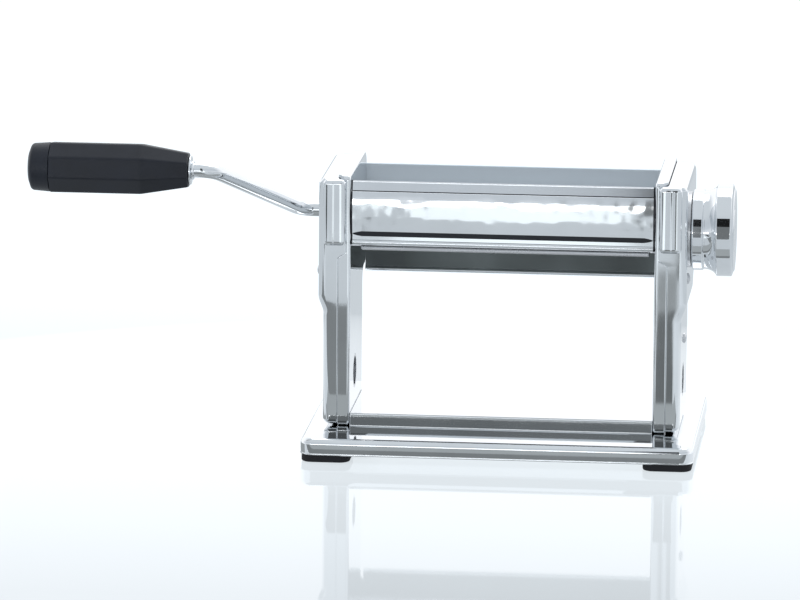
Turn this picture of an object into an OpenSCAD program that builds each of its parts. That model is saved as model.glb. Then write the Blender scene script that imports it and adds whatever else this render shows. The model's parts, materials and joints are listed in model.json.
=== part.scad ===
// Hand-cranked pasta machine with two smooth rollers and a thickness dial.
// Millimetres. X runs along the rollers to the dial, Y to the back, Z up.
// The origin is the middle of the base, on the table.

/* [Base] */
// How far the base plate reaches past a stand's leg at each side
base_side = 9.3; // [8:0.1:30]
// Depth of the base plate
base_d = 157; // [140:1:200]
// Height of the base plate's top above the table
base_top = 14; // [12:0.5:20]
// Sheet thickness of the base plate and the bridge
base_sheet = 1.2; // [0.8:0.1:2]
// Corner radius of the base plate, seen from above
base_corner_r = 8; // [8:0.5:14]
// Radius of the base plate's upper edge
base_edge_r = 3.5; // [2.5:0.5:4]
// Height of the rubber feet below the rim
foot_h = 4; // [2:0.5:6]
// Width of a rubber foot
foot_w = 27; // [20:1:36]
// Corner radius of a rubber foot
foot_corner_r = 6; // [3:0.5:9]
// How far a rubber foot stands back from the base plate's edge
foot_inset = 0.8; // [0.2:0.1:1]
// Radius of the boss that fixes a rubber foot under the base plate
foot_boss_r = 7; // [4:0.5:9]
// Height of the bridge between the stands
bridge_h = 7.3; // [4:0.1:12]

/* [Stands] */
// Height of the stands' tops above the table
stand_top = 155; // [153:0.5:170]
// Sheet thickness of the stands
stand_sheet = 1.5; // [1:0.1:2]
// Depth of a stand's inner shell along X
inner_shell = 7; // [6.5:0.1:9]
// Depth of a stand's outer shell beside the leg
leg_shell = 8.2; // [7:0.1:10]
// Depth of a stand's outer shell beside the head
head_shell = 11; // [11:0.1:15]
// From the middle to the stands' front face
stand_front = 45; // [44.5:0.5:50]
// From the middle to the leg's rear face
leg_rear = 24; // [16:1:32]
// From the middle to the head's rear face
head_rear = 45; // [44.5:0.5:55]
// Height of the head
head_h = 65; // [64:0.5:71]
// Radius of the head's rear corners
head_corner_r = 9; // [4:0.5:14]
// Radius of the hollow corner between the head and the leg
under_head_r = 8; // [3:0.5:14]
// How far below the head the outer shell has stepped out
step_drop = 4; // [0:1:7]
// Height of the outer shell's step
step_h = 8; // [6:1:15]
// How far the outer shell's top lies below the stand's top
cover_drop = 1.8; // [0.5:0.1:3]
// Gap between the outer shell and the base plate
cover_lift = 0.7; // [0.5:0.1:5]

/* [Attachment rails] */
// Length of a rail on the front of the head
rail_len = 37; // [30:1:42]
// Width of a rail
rail_w = 12.6; // [10:0.1:13]
// How far a rail stands out of the head
rail_out = 5; // [3.5:0.1:6]
// Distance of a rail from the stand's inner face
rail_in = 2.5; // [2.2:0.1:4.5]
// Radius of a rail's edges and corners
rail_round = 3; // [1.5:0.1:3.4]
// How far the outer shell reaches down beside the inner one, below the rail
tab_drop = 6; // [1:0.1:7]

/* [Clamp sockets] */
// Radius of the socket for a table clamp's peg
socket_r = 8; // [5:0.1:9]
// Wall of the socket
socket_wall = 1.5; // [1:0.1:2.5]
// Distance of the socket in front of the middle
socket_y = 17; // [5:0.5:25]
// Height of the socket
socket_z = 40; // [32:0.5:48]

/* [Covers] */
// Sheet thickness of the front and rear covers
cover_sheet = 1.2; // [0.8:0.1:1.6]
// From the middle to the front cover's crease
front_cover_y = 44; // [43.5:0.1:45]
// How far the front cover's top edge lies below the stands' tops
front_cover_drop = 3; // [2:0.1:5]
// Height of the front cover
front_cover_h = 36; // [34:0.5:38]
// Height of the narrow band above the crease
crease_band = 5.5; // [3:0.1:8]
// How far the band above the crease leans back
crease_lean = 1.5; // [0.5:0.1:2]
// How far the front cover bulges forward
front_bulge = 2; // [1:0.1:3]
// Height of the groove above the rolled bead
groove_h = 3; // [2:0.1:4]
// Depth of the groove
groove_depth = 0.8; // [0.4:0.1:1]
// Radius of the rolled beads
bead_r = 1.6; // [1.3:0.1:2]
// From the middle to the rear cover's edges
rear_cover_y = 39; // [38.5:0.1:40]
// How far the rear cover's top edge lies below the stands' tops
rear_cover_drop = 7.2; // [3:0.1:8.5]
// Height of the rear cover
rear_cover_h = 61.8; // [56:0.1:66]
// How far the rear cover bulges back
rear_bulge = 4; // [2:0.1:5]

/* [Rollers] */
// Radius of the rollers
roller_r = 15.5; // [14.8:0.1:15.8]
// Length of the rollers
roller_len = 160; // [140:1:190]
// Gap between a roller's end and the stand
roller_side_gap = 4; // [3.5:0.1:5]
// How far the roller axes lie below the stands' tops
roller_drop = 30.2; // [28:0.2:31]
// Distance of the driven roller's axis behind the middle
drive_y = 15.5; // [15:0.1:16.5]
// Widest gap between the rollers, at dial zero
gap_wide = 4.8; // [4:0.1:5]
// Narrowest gap between the rollers
gap_narrow = 0.6; // [0.5:0.1:1]
// Radius of the drive shaft
shaft_r = 8; // [7:0.1:8.5]
// Radius of the eccentric axle inside the front roller
axle_r = 6; // [5.5:0.1:6.5]
// Outer radius of the front roller's hollow neck
neck_r = 9; // [8.5:0.1:9.5]
// Wall of a bearing bush
bush_wall = 2.5; // [1.5:0.1:3]
// Length of a roller bush
roller_bush_len = 12; // [6:0.5:20]
// Running clearance between a shaft and its bush
running_fit = 0.05; // [0.03:0.01:0.1]
// Radius of the tie rods
tie_rod_r = 3; // [2.5:0.1:3.3]
// Distance of a scraper's edge from its roller
scraper_gap = 0.3; // [0.2:0.1:0.6]
// Width of a scraper blade
scraper_len = 4; // [3:0.1:4.4]
// Thickness of a scraper blade
scraper_t = 1.6; // [1:0.1:2]

/* [Gears] */
// Teeth on each gear
gear_teeth = 9; // [8:1:9]
// Width of the gears
gear_w = 9; // [6:0.5:9.5]
// How far a tooth reaches past the pitch circle
gear_addendum = 3.4; // [2.8:0.1:3.4]
// Clearance between a tooth's tip and the other gear's root
gear_clearance = 0.6; // [0.5:0.1:0.9]
// Half a tooth's thickness at the pitch circle
tooth_half = 1.4; // [1.1:0.1:1.4]
// How far the front gear is turned on its pitch circle, to share the play
gear_shift = 1; // [0.7:0.1:1.1]

/* [Dial] */
// Radius of the dial knob's outer flange
knob_r = 25.5; // [22:0.5:26]
// Radius of the dial knob's inner flange
knob_inner_r = 22.4; // [20:0.2:23]
// Radius of the dial knob's waist
knob_waist_r = 22; // [18.5:0.1:22]
// Length of the dial knob
knob_len = 23.2; // [22:0.2:28]
// Gap between the index plate and the dial knob
knob_gap = 0.6; // [0.3:0.1:1.2]
// Settings on the dial
dial_steps = 10; // [6:1:10]
// Radius of the index pin's circle
pin_circle_r = 16; // [14.5:0.1:17]
// Radius of the index pin
pin_r = 1.5; // [1:0.1:1.7]
// Radius of the dial spring's wire
spring_wire_r = 0.7; // [0.5:0.05:0.9]
// Turns of the dial spring
spring_turns = 4; // [3:1:4]

/* [Crank] */
// Radius of the crank rod
crank_r = 4; // [3.5:0.1:4.5]
// Distance of the grip's axis from the crank's axis
crank_throw = 90; // [70:1:110]
// Angle of the crank above the horizontal, towards the front
crank_lift = 23; // [0:1:60]
// Distance of the first bend from the stand
crank_first_bend = 16; // [8:0.5:20]
// How far the arm leans away from the stand
crank_lean = 40; // [20:1:60]
// Radius of the crank's bends
crank_bend_r = 12; // [8:0.5:18]
// Straight rod between the second bend and the grip
crank_to_grip = 13; // [12:0.5:20]
// Length of the crank's square end in the shaft
crank_key_len = 14; // [10:0.5:15]
// Length of the grip with its end cap
grip_len = 89; // [75:1:110]
// Radius of the grip's eight corners
grip_r = 14.8; // [12:0.2:17]
// Radius of the eight corners at the grip's thin end
grip_neck_r = 10.1; // [9.5:0.1:11]
// Length of the grip's taper
grip_taper = 26; // [15:1:35]
// Turn of the grip on its rod
grip_turn = 7.5; // [0:0.5:45]
// Radius of the grip's end cap where it meets the grip
grip_cap_r = 13.6; // [11:0.2:14]
// Radius of the grip's end cap at its outer end
grip_cap_end_r = 13; // [10:0.2:14]
// Length of the grip's end cap
grip_cap_len = 12.5; // [8:0.5:16]

/* [Hidden] */
$fn = 64;

chrome = [0.80, 0.82, 0.84];
steel = [0.62, 0.63, 0.65];
bronze = [0.72, 0.52, 0.27];
black_plastic = [0.05, 0.05, 0.055];
black_rubber = [0.07, 0.07, 0.07];

// Overshoot of a cutting shape past the face that it cuts
over = 1;
// Radial clearance of pieces that are fixed to each other
fixed_fit = 0.02;
// Radial clearance of a bush or socket in a stand
bush_fit = 0.08;
// Radial clearance of a hole round a screw
screw_fit = 0.2;
// Clearance of pieces that pass each other
pass_gap = 0.5;
// Gap between the edges of two sheets
edge_gap = 0.15;

// Heights
head_low = stand_top - head_h;
step_high = head_low - step_drop;
step_low = step_high - step_h;
shell_top = stand_top - cover_drop;
front_cover_top = stand_top - front_cover_drop;
front_cover_low = front_cover_top - front_cover_h;
rear_cover_top = stand_top - rear_cover_drop;
rear_cover_low = rear_cover_top - rear_cover_h;
roller_z = stand_top - roller_drop;
rail_low = shell_top - rail_len;
tab_low = rail_low - tab_drop;

// Stations along X, for the right-hand side
inner_w = roller_len + 2 * roller_side_gap;
plate_x = inner_w / 2;
plate_back_x = plate_x + stand_sheet;
seam_x = plate_x + inner_shell;
leg_x = seam_x + leg_shell;
head_x = seam_x + head_shell;
leg_wall_x = leg_x - stand_sheet;
head_wall_x = head_x - stand_sheet;
roller_x = roller_len / 2;
base_w = 2 * (leg_x + base_side);
rail_x = plate_x + rail_in;

// Roller, dial and gear places
ecc = (gap_wide - gap_narrow) / 2;
dial_y = drive_y - 2 * roller_r - (gap_wide + gap_narrow) / 2;
front_y = dial_y - ecc;
gear_pitch_r = roller_r + gap_narrow / 2;
gear_r = gear_pitch_r + gear_addendum;
gear_root_r = 2 * gear_pitch_r - gear_r - gear_clearance;
tooth_tip_half = 0.65 * tooth_half;
tooth_root_half = 1.35 * tooth_half;
tooth_chamfer = 0.5;
tooth_sink = 0.3;
bush_flange_t = 1.5;
gear_x = plate_back_x + bush_flange_t + pass_gap;
neck_end_x = gear_x + gear_w + pass_gap;

// Fasteners
base_screw_r = 1.25;
base_nut_r = 2.6;
base_nut_h = 2.4;
base_screw_head_r = 2.4;
base_screw_head_h = 2;
base_screw_tail = 1;
base_nut_gap = 0.1;
base_screw_in = 12.5;
base_screw_x = plate_back_x + base_nut_r + base_nut_gap;
base_screw_ys = [-stand_front + base_screw_in, leg_rear - base_screw_in];
tie_screw_r = 1.5;
tie_screw_head_r = 4;
tie_screw_head_h = 1.8;
tie_screw_len = 12;
// Places of the tie rods beside the covers and below or above the covers' edges
tie_front_gap = 1.8;
tie_front_drop = 9;
tie_rear_gap = 2.5;
tie_rear_drop = 14.1;
tie_rear_rise = 18;
tie_rod_places = [
  [-front_cover_y + cover_sheet + tie_rod_r + tie_front_gap, front_cover_top - tie_front_drop],
  [rear_cover_y - tie_rod_r - tie_rear_gap, rear_cover_top - tie_rear_drop],
  [rear_cover_y - tie_rod_r - tie_rear_gap, rear_cover_low + tie_rear_rise]
];
cover_screw_r = 1.25;
cover_screw_head_r = 3;
cover_screw_head_h = 1.4;
cover_post_r = 3;
cover_screw_len = 8;
head_screw_in = 11;
head_screw_rise = 10;
leg_screw_rise = 22;
head_screw_place = [-stand_front + head_screw_in, head_low + head_screw_rise];
leg_screw_place = [(leg_rear - stand_front) / 2, socket_z + leg_screw_rise];

// Eccentric axle
journal_relief = 0.1;
journal_shoulder = 0.4;
axle_overhang = 0.2;
axle_end_gap = 0.3;
left_bush_gap = 0.7;
right_bush_gap = 1;
journal_inset = 1;
neck_gap = 0.8;
journal_hole_gap = 1;
left_journal_r = axle_r - ecc - journal_relief;
right_journal_r = axle_r + ecc + journal_shoulder;
axle_left_x = neck_end_x + axle_overhang;
left_bush_x = axle_left_x + left_bush_gap;
right_journal_x = plate_x - journal_inset;
carrier_gap = 0.5;
carrier_t = right_journal_x - roller_x - 2 * carrier_gap;
carrier_x = roller_x + carrier_gap;
carrier_wall = 3;
roller_end_wall = 4;
roller_bush_extra = 1.45;
axle_gap = 0.4;
scraper_angle = 25;

// Dial
index_plate_t = 1.2;
index_plate_in = 1.4;
index_plate_r = knob_inner_r - index_plate_in;
index_x = head_x + index_plate_t;
knob_x = index_x + knob_gap;
knob_end_x = knob_x + knob_len;
axle_end_x = index_x - axle_overhang;
dial_cap_t = 1.6;
dial_cap_r = 12;
dial_screw_head_h = 2;
dial_screw_head_r = 9;
dial_screw_r = 2.5;
dial_screw_len = 10;
spring_bore_r = 10;
knob_web = 7.2;
knob_edge = 1.2;
knob_chamfer = 2.5;
knob_rim = 0.8;
dial_cap_gap = 0.4;
pin_depth = 4;
pin_gap = 0.3;
notch_gap = 0.4;
slot_gap = 0.2;
notch_shift = 0.3;
spring_gap = 0.1;
spring_seat_x = knob_x + knob_web;
axle_tip_x = knob_end_x - dial_cap_t - dial_cap_gap - dial_screw_head_h;
spring_mid_r = (axle_r + spring_bore_r) / 2;
axle_flat = 0.75 * axle_r;

// Crank, measured from the stand's outer face along -X
crank_end_x = plate_back_x;
crank_corner_x = head_x + crank_first_bend;
crank_outer_x = crank_corner_x + crank_lean;
grip_x = crank_outer_x + crank_to_grip;
grip_body_end_x = grip_x + grip_len - grip_cap_len;
crank_angle = atan2(crank_throw, crank_lean);
bend_tangent = crank_bend_r * tan(crank_angle / 2);
socket_key = 1.35 * crank_r;
key_gap = 0.15;
shaft_end_gap = 1;
shaft_end_x = head_wall_x - shaft_end_gap;
shaft_clip_gap = 0.4;
shaft_clip_x = plate_back_x + bush_flange_t + shaft_clip_gap;
shaft_clip_t = 1.5;
shaft_clip_wall = 2.5;
shaft_tail = 1;
shaft_groove = 1;
crank_hole_gap = 1.5;
washer_t = 1.1;
washer_gap = 0.3;
// The bends are a hair thicker than the straight rod, and overlap it a little
bend_swell = 0.05;
bend_lap = 0.5;
collar_t = 1.5;
collar_out = 1.2;
washer_in = 2.1;
clip_groove = 0.4;
clip_gap = 0.4;
grip_clip_t = 1.2;
grip_clip_r = 6.5;
grip_pocket_r = 8;
grip_pocket = 5.5;
grip_spigot = 1.6;
grip_cap_round = 2.4;
grip_cap_crown = 1.6;
grip_rod_gap = 2.5;
grip_rod_end_x = grip_body_end_x - grip_rod_gap;

// A flat outline in Y and Z, carried along X from x0 to x1
module along_x(x0, x1) {
  translate([x0, 0, 0]) rotate([90, 0, 90]) linear_extrude(x1 - x0) children();
}

// A flat outline in X and Z, carried along Y from y0 to y1
module along_y(y0, y1) {
  translate([0, y1, 0]) rotate([90, 0, 0]) linear_extrude(y1 - y0) children();
}

// A round bar along X
module bar_x(x0, x1, y, z, r) {
  translate([x0, y, z]) rotate([0, 90, 0]) cylinder(h = x1 - x0, r = r);
}

// A ring round an axis along X
module ring_x(x0, x1, y, z, r_out, r_in) {
  difference() {
    bar_x(x0, x1, y, z, r_out);
    bar_x(x0 - over, x1 + over, y, z, r_in);
  }
}

// A profile of radius and X, turned round an axis along X
module turned_x(y, z) {
  translate([0, y, z]) rotate([0, 90, 0]) rotate_extrude() children();
}

// The same shape on the left-hand side
module on_left() {
  mirror([1, 0, 0]) children();
}

// The same shape on both sides
module on_both_sides() {
  children();
  on_left() children();
}

// A rectangle with round corners, centred
module round_rect(w, d, r) {
  square([w - 2 * r, d], center = true);
  square([w, d - 2 * r], center = true);
  for (sx = [-1, 1], sy = [-1, 1])
    translate([sx * (w / 2 - r), sy * (d / 2 - r)]) circle(r);
}

// A slab with round corners and a round upper edge
module soft_slab(w, d, low, top, corner_r, edge_r) {
  translate([0, 0, low]) linear_extrude(top - edge_r - low) round_rect(w, d, corner_r);
  translate([0, 0, low])
    linear_extrude(top - low) round_rect(w - 2 * edge_r, d - 2 * edge_r, corner_r - edge_r);
  for (s = [-1, 1]) {
    translate([s * (w / 2 - edge_r), 0, top - edge_r])
      rotate([90, 0, 0]) cylinder(h = d - 2 * corner_r, r = edge_r, center = true);
    translate([0, s * (d / 2 - edge_r), top - edge_r])
      rotate([0, 90, 0]) cylinder(h = w - 2 * corner_r, r = edge_r, center = true);
  }
  for (sx = [-1, 1], sy = [-1, 1])
    translate([sx * (w / 2 - corner_r), sy * (d / 2 - corner_r), top - edge_r])
      rotate_extrude() translate([corner_r - edge_r, 0]) circle(edge_r);
}

// Pressed base plate, open below
module base_plate() {
  color(chrome) difference() {
    soft_slab(base_w, base_d, foot_h, base_top, base_corner_r, base_edge_r);
    soft_slab(base_w - 2 * base_sheet, base_d - 2 * base_sheet, foot_h - over, base_top - base_sheet,
      base_corner_r - base_sheet, base_edge_r - base_sheet);
    on_both_sides() for (y = base_screw_ys)
      translate([base_screw_x, y, 0]) cylinder(h = base_top + over, r = base_screw_r + screw_fit);
  }
}

// Four rubber pads under the base plate's corners
module rubber_feet() {
  foot_dx = base_w / 2 - foot_inset - foot_w / 2;
  foot_dy = base_d / 2 - foot_inset - foot_w / 2;
  color(black_rubber) for (sx = [-1, 1], sy = [-1, 1])
    translate([sx * foot_dx, sy * foot_dy, 0]) {
      linear_extrude(foot_h) round_rect(foot_w, foot_w, foot_corner_r);
      cylinder(h = base_top - base_sheet, r = foot_boss_r);
    }
}

// Pressed bridge on the base plate, between the stands
module base_bridge() {
  color(chrome) difference() {
    along_y(-stand_front, stand_front)
      translate([-plate_x, base_top]) square([inner_w, bridge_h]);
    along_y(-stand_front + base_sheet, stand_front - base_sheet)
      translate([-plate_x + base_sheet, base_top - over])
        square([inner_w - 2 * base_sheet, bridge_h - base_sheet + over]);
  }
}

// Screws that hold the stands to the base plate, from below
module base_screws() {
  head_z = base_top - base_sheet - base_screw_head_h;
  color(steel) on_both_sides() for (y = base_screw_ys) translate([base_screw_x, y, head_z]) {
    cylinder(h = base_screw_head_h, r = base_screw_head_r);
    cylinder(h = base_screw_head_h + base_sheet + stand_sheet + base_nut_h + base_screw_tail,
      r = base_screw_r);
  }
}

// Nuts on the base screws, inside the stands
module base_nuts() {
  color(steel) on_both_sides() for (y = base_screw_ys)
    translate([base_screw_x, y, base_top + stand_sheet]) difference() {
      cylinder(h = base_nut_h, r = base_nut_r, $fn = 6);
      translate([0, 0, -over]) cylinder(h = base_nut_h + 2 * over, r = base_screw_r + fixed_fit);
    }
}

// Side outline of a stand: a leg, and a deeper head that overhangs at the rear
module stand_outline(inset, low, top) {
  front = -stand_front + inset;
  leg_y = leg_rear - inset;
  rear = head_rear - inset;
  under = head_low + inset;
  corner = head_corner_r - inset;
  hollow = under_head_r + inset;
  translate([front, low + inset]) square([leg_y - front, top - low - 2 * inset]);
  translate([front, under]) square([rear - corner - front, top - inset - under]);
  translate([front, under + corner]) square([rear - front, top - inset - under - 2 * corner]);
  for (z = [under + corner, top - inset - corner])
    translate([rear - corner, z]) circle(corner);
  difference() {
    translate([leg_y - over, under - hollow]) square([hollow + over, hollow + over]);
    translate([leg_y + hollow, under - hollow]) circle(hollow);
  }
}

// Inner shell of a stand, with the posts that carry the outer shell
module side_plate(dial_hole_r) {
  difference() {
    union() {
      difference() {
        along_x(plate_x, seam_x) stand_outline(0, base_top, stand_top);
        along_x(plate_back_x, seam_x + over) stand_outline(stand_sheet, base_top, stand_top);
      }
      bar_x(plate_x, head_wall_x, head_screw_place[0], head_screw_place[1], cover_post_r);
      bar_x(plate_x, leg_wall_x, leg_screw_place[0], leg_screw_place[1], cover_post_r);
    }
    bar_x(plate_back_x, head_wall_x + over, head_screw_place[0], head_screw_place[1],
      cover_screw_r + fixed_fit);
    bar_x(plate_back_x, leg_wall_x + over, leg_screw_place[0], leg_screw_place[1],
      cover_screw_r + fixed_fit);
    bar_x(plate_x - over, plate_back_x + over, drive_y, roller_z, shaft_r + bush_wall + bush_fit);
    bar_x(plate_x - over, plate_back_x + over, dial_y, roller_z, dial_hole_r);
    bar_x(plate_x - over, plate_back_x + over, -socket_y, socket_z, socket_r + socket_wall + bush_fit);
    for (p = tie_rod_places)
      bar_x(plate_x - over, plate_back_x + over, p[0], p[1], tie_screw_r + screw_fit);
    for (y = base_screw_ys) translate([base_screw_x, y, 0])
      cylinder(h = base_top + stand_sheet + over, r = base_screw_r + screw_fit);
    translate([rail_x - edge_gap, -stand_front - over, tab_low - edge_gap])
      cube([seam_x + over - rail_x, stand_sheet + over, stand_top - stand_sheet - tab_low + edge_gap]);
  }
}

module left_side_plate() {
  color(chrome) on_left() side_plate(neck_r + ecc + neck_gap);
}

module right_side_plate() {
  color(chrome) side_plate(right_journal_r + bush_wall + bush_fit);
}

// Front outline of a stand's outer shell: narrow beside the leg, wider beside the head
module cover_profile(inset, low, top) {
  polygon([
    [seam_x - over, low + inset],
    [leg_x - inset, low + inset],
    [leg_x - inset, step_low],
    [head_x - inset, step_high],
    [head_x - inset, top - inset],
    [seam_x - over, top - inset]
  ]);
}

// A rail for an attachment, with round edges and corners, and the tab that it stands on
module rail() {
  front = -stand_front - rail_out;
  back = -stand_front + stand_sheet / 2;
  intersection() {
    translate([rail_x, 0, rail_low]) linear_extrude(rail_len) {
      translate([0, front + rail_round]) square([rail_w, back - front - rail_round]);
      translate([rail_round, front]) square([rail_w - 2 * rail_round, back - front]);
      for (x = [rail_round, rail_w - rail_round])
        translate([x, front + rail_round]) circle(rail_round);
    }
    along_y(front - over, back + over) translate([rail_x + rail_w / 2, rail_low + rail_len / 2])
      round_rect(rail_w, rail_len, rail_round);
  }
  translate([rail_x, -stand_front, tab_low])
    cube([seam_x + stand_sheet - rail_x, stand_sheet, shell_top - tab_low]);
}

// Outer shell of a stand with the rail for an attachment
module side_cover() {
  low = base_top + cover_lift;
  top = shell_top;
  difference() {
    union() {
      intersection() {
        along_x(seam_x, head_x) stand_outline(0, low, top);
        along_y(-stand_front - over, head_rear + over) cover_profile(0, low, top);
      }
      rail();
    }
    intersection() {
      along_x(seam_x - over, head_x) stand_outline(stand_sheet, low, top);
      along_y(-stand_front, head_rear) cover_profile(stand_sheet, low, top);
    }
    bar_x(head_wall_x - over, head_x + over, head_screw_place[0], head_screw_place[1],
      cover_screw_r + screw_fit);
    bar_x(leg_wall_x - over, leg_x + over, leg_screw_place[0], leg_screw_place[1],
      cover_screw_r + screw_fit);
    bar_x(leg_wall_x - over, leg_x + over, -socket_y, socket_z, socket_r + socket_wall + bush_fit);
  }
}

module left_side_cover() {
  color(chrome) difference() {
    on_left() side_cover();
    bar_x(-head_x - over, -head_wall_x + over, drive_y, roller_z, crank_r + crank_hole_gap);
  }
}

module right_side_cover() {
  color(chrome) difference() {
    side_cover();
    bar_x(head_wall_x - over, head_x + over, dial_y, roller_z, right_journal_r + journal_hole_gap);
  }
}

// A domed screw on the outside of a stand, at a place in Y and Z
module cover_screw(face_x, place) {
  bar_x(face_x - stand_sheet - cover_screw_len, face_x + cover_screw_head_h / 2, place[0], place[1],
    cover_screw_r);
  turned_x(place[0], place[1]) polygon([
    [0, face_x],
    [cover_screw_head_r, face_x],
    for (a = [15 : 15 : 75])
      [cover_screw_head_r * cos(a), face_x + cover_screw_head_h * sin(a)],
    [0, face_x + cover_screw_head_h]
  ]);
}

module cover_screws() {
  color(steel) on_both_sides() {
    cover_screw(head_x, head_screw_place);
    cover_screw(leg_x, leg_screw_place);
  }
}

// Round sockets through the stands' legs for a table clamp's peg
module clamp_sockets() {
  color(steel) on_both_sides()
    ring_x(plate_x, leg_x, -socket_y, socket_z, socket_r + socket_wall, socket_r);
}

// A sheet in Y and Z that follows a line of points, with its thickness along Y
module sheet_outline(line, thickness) {
  count = len(line);
  polygon(concat(line, [for (i = [1 : count]) line[count - i] + [thickness, 0]]));
}

// Points of a bulging stretch from one height to another, shaped as a parabola
function bulge_line(y, from_z, to_z, bulge) =
  [for (t = [0 : 0.05 : 1]) [y + bulge * 4 * t * (1 - t), from_z + (to_z - from_z) * t]];

// Front cover: a leaning band, a crease, a bulging band, a groove and a rolled bead
module front_cover() {
  crease_z = front_cover_top - crease_band;
  bead_z = front_cover_low + bead_r;
  groove_top = front_cover_low + 2 * bead_r + groove_h;
  groove_y = -front_cover_y + groove_depth;
  color(chrome) along_x(-plate_x, plate_x) {
    sheet_outline(concat(
      [[-front_cover_y + crease_lean, front_cover_top]],
      bulge_line(-front_cover_y, crease_z, groove_top, -front_bulge),
      [[groove_y, groove_top], [groove_y, bead_z]]
    ), cover_sheet);
    translate([groove_y + cover_sheet / 2, bead_z]) circle(bead_r);
  }
}

// Rear cover: one bulging sheet with a rolled bead at its lower edge
module rear_cover() {
  bead_z = rear_cover_low + bead_r;
  color(chrome) along_x(-plate_x, plate_x) {
    sheet_outline(bulge_line(rear_cover_y, rear_cover_top, bead_z, rear_bulge), cover_sheet);
    translate([rear_cover_y + cover_sheet / 2, bead_z]) circle(bead_r);
  }
}

// Rods that tie the stands together
module tie_rods() {
  color(steel) for (p = tie_rod_places) difference() {
    bar_x(-plate_x, plate_x, p[0], p[1], tie_rod_r);
    for (s = [-1, 1])
      bar_x(s * plate_x - tie_screw_len, s * plate_x + tie_screw_len, p[0], p[1], tie_screw_r + fixed_fit);
  }
}

module tie_rod_screws() {
  color(steel) on_both_sides() for (p = tie_rod_places) {
    bar_x(plate_x - tie_screw_len + over, plate_back_x + over, p[0], p[1], tie_screw_r);
    bar_x(plate_back_x, plate_back_x + tie_screw_head_h, p[0], p[1], tie_screw_head_r);
  }
}

// A blade that points at a roller's axis, turned by an angle in Y and Z
module scraper_blade(y, z, angle, half_len) {
  along_x(-half_len, half_len) translate([y, z]) rotate(angle)
    translate([roller_r + scraper_gap, -scraper_t / 2]) square([scraper_len, scraper_t]);
}

module rear_scraper() {
  color(steel) scraper_blade(drive_y, roller_z, -scraper_angle, plate_x);
}

// A bush with a flange, in a stand's inner shell
module flanged_bush(y, z, bore_r, end_x) {
  difference() {
    union() {
      bar_x(plate_x, end_x, y, z, bore_r + bush_wall);
      bar_x(plate_back_x, plate_back_x + bush_flange_t, y, z, bore_r + bush_wall + bush_flange_t);
    }
    bar_x(plate_x - over, end_x + over, y, z, bore_r);
  }
}

module drive_bushes() {
  color(bronze) on_both_sides()
    flanged_bush(drive_y, roller_z, shaft_r + running_fit, plate_back_x + bush_flange_t);
}

// Bush of the eccentric axle on the left stand's outer shell
module axle_bush_left() {
  color(bronze) ring_x(-head_wall_x, -left_bush_x, dial_y, roller_z,
    left_journal_r + running_fit + bush_wall, left_journal_r + running_fit);
}

module axle_bush_right() {
  color(bronze) flanged_bush(dial_y, roller_z, right_journal_r + running_fit, seam_x - right_bush_gap);
}

// Plate behind the dial knob, with a notch in its curved slot for each setting
module index_plate() {
  notch_r = pin_r + notch_gap;
  slot_half = pin_r + slot_gap;
  color(steel) difference() {
    bar_x(head_x, index_x, dial_y, roller_z, index_plate_r);
    bar_x(head_x - over, index_x + over, dial_y, roller_z, right_journal_r + journal_hole_gap);
    difference() {
      ring_x(head_x - over, index_x + over, dial_y, roller_z,
        pin_circle_r + slot_half, pin_circle_r - slot_half);
      translate([head_x - 2 * over, dial_y, roller_z - 2 * knob_r])
        cube([index_plate_t + 4 * over, 2 * knob_r, 4 * knob_r]);
    }
    for (step = [0 : dial_steps - 1]) {
      angle = 90 + step * 180 / (dial_steps - 1);
      bar_x(head_x - over, index_x + over, dial_y + (pin_circle_r + notch_shift) * cos(angle),
        roller_z + (pin_circle_r + notch_shift) * sin(angle), notch_r);
    }
  }
}

// Driven roller at the rear
module rear_roller() {
  color(steel) ring_x(-roller_x, roller_x, drive_y, roller_z, roller_r, shaft_r + fixed_fit);
}

// Shaft of the driven roller, with a square socket for the crank
module drive_shaft() {
  right_end_x = shaft_clip_x + shaft_clip_t + shaft_tail;
  key = socket_key + 2 * key_gap;
  color(steel) difference() {
    bar_x(-shaft_end_x, right_end_x, drive_y, roller_z, shaft_r);
    translate([0, drive_y, roller_z]) rotate([-crank_lift, 0, 0])
      translate([-shaft_end_x - over, -key / 2, -key / 2])
        cube([shaft_end_x + over - crank_end_x + pass_gap, key, key]);
    bar_x(-shaft_end_x - over, -crank_end_x - crank_key_len + pass_gap, drive_y, roller_z, crank_r + key_gap);
    ring_x(shaft_clip_x - fixed_fit, shaft_clip_x + shaft_clip_t + fixed_fit, drive_y, roller_z,
      shaft_r + over, shaft_r - shaft_groove);
  }
}

// Long-toothed gear that stays in mesh while the roller gap changes
module gear_outline() {
  root_y = sqrt(pow(gear_root_r, 2) - pow(tooth_root_half, 2)) - tooth_sink;
  circle(gear_root_r);
  for (k = [0 : gear_teeth - 1]) rotate(k * 360 / gear_teeth)
    polygon([
      [root_y, -tooth_root_half],
      [gear_pitch_r, -tooth_half],
      [gear_r - tooth_chamfer, -tooth_tip_half],
      [gear_r, -tooth_tip_half + tooth_chamfer],
      [gear_r, tooth_tip_half - tooth_chamfer],
      [gear_r - tooth_chamfer, tooth_tip_half],
      [gear_pitch_r, tooth_half],
      [root_y, tooth_root_half]
    ]);
}

module spur_gear(y, angle, bore_r) {
  color(steel) along_x(-gear_x - gear_w, -gear_x) translate([y, roller_z]) difference() {
    rotate(angle) gear_outline();
    circle(bore_r);
  }
}

module drive_gear() {
  spur_gear(drive_y, 180, shaft_r + fixed_fit);
}

// Clip that keeps the drive shaft in its bushes
module shaft_clip() {
  color(steel) ring_x(shaft_clip_x, shaft_clip_x + shaft_clip_t, drive_y, roller_z,
    shaft_r + shaft_clip_wall, shaft_r - shaft_groove + fixed_fit);
}

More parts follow.
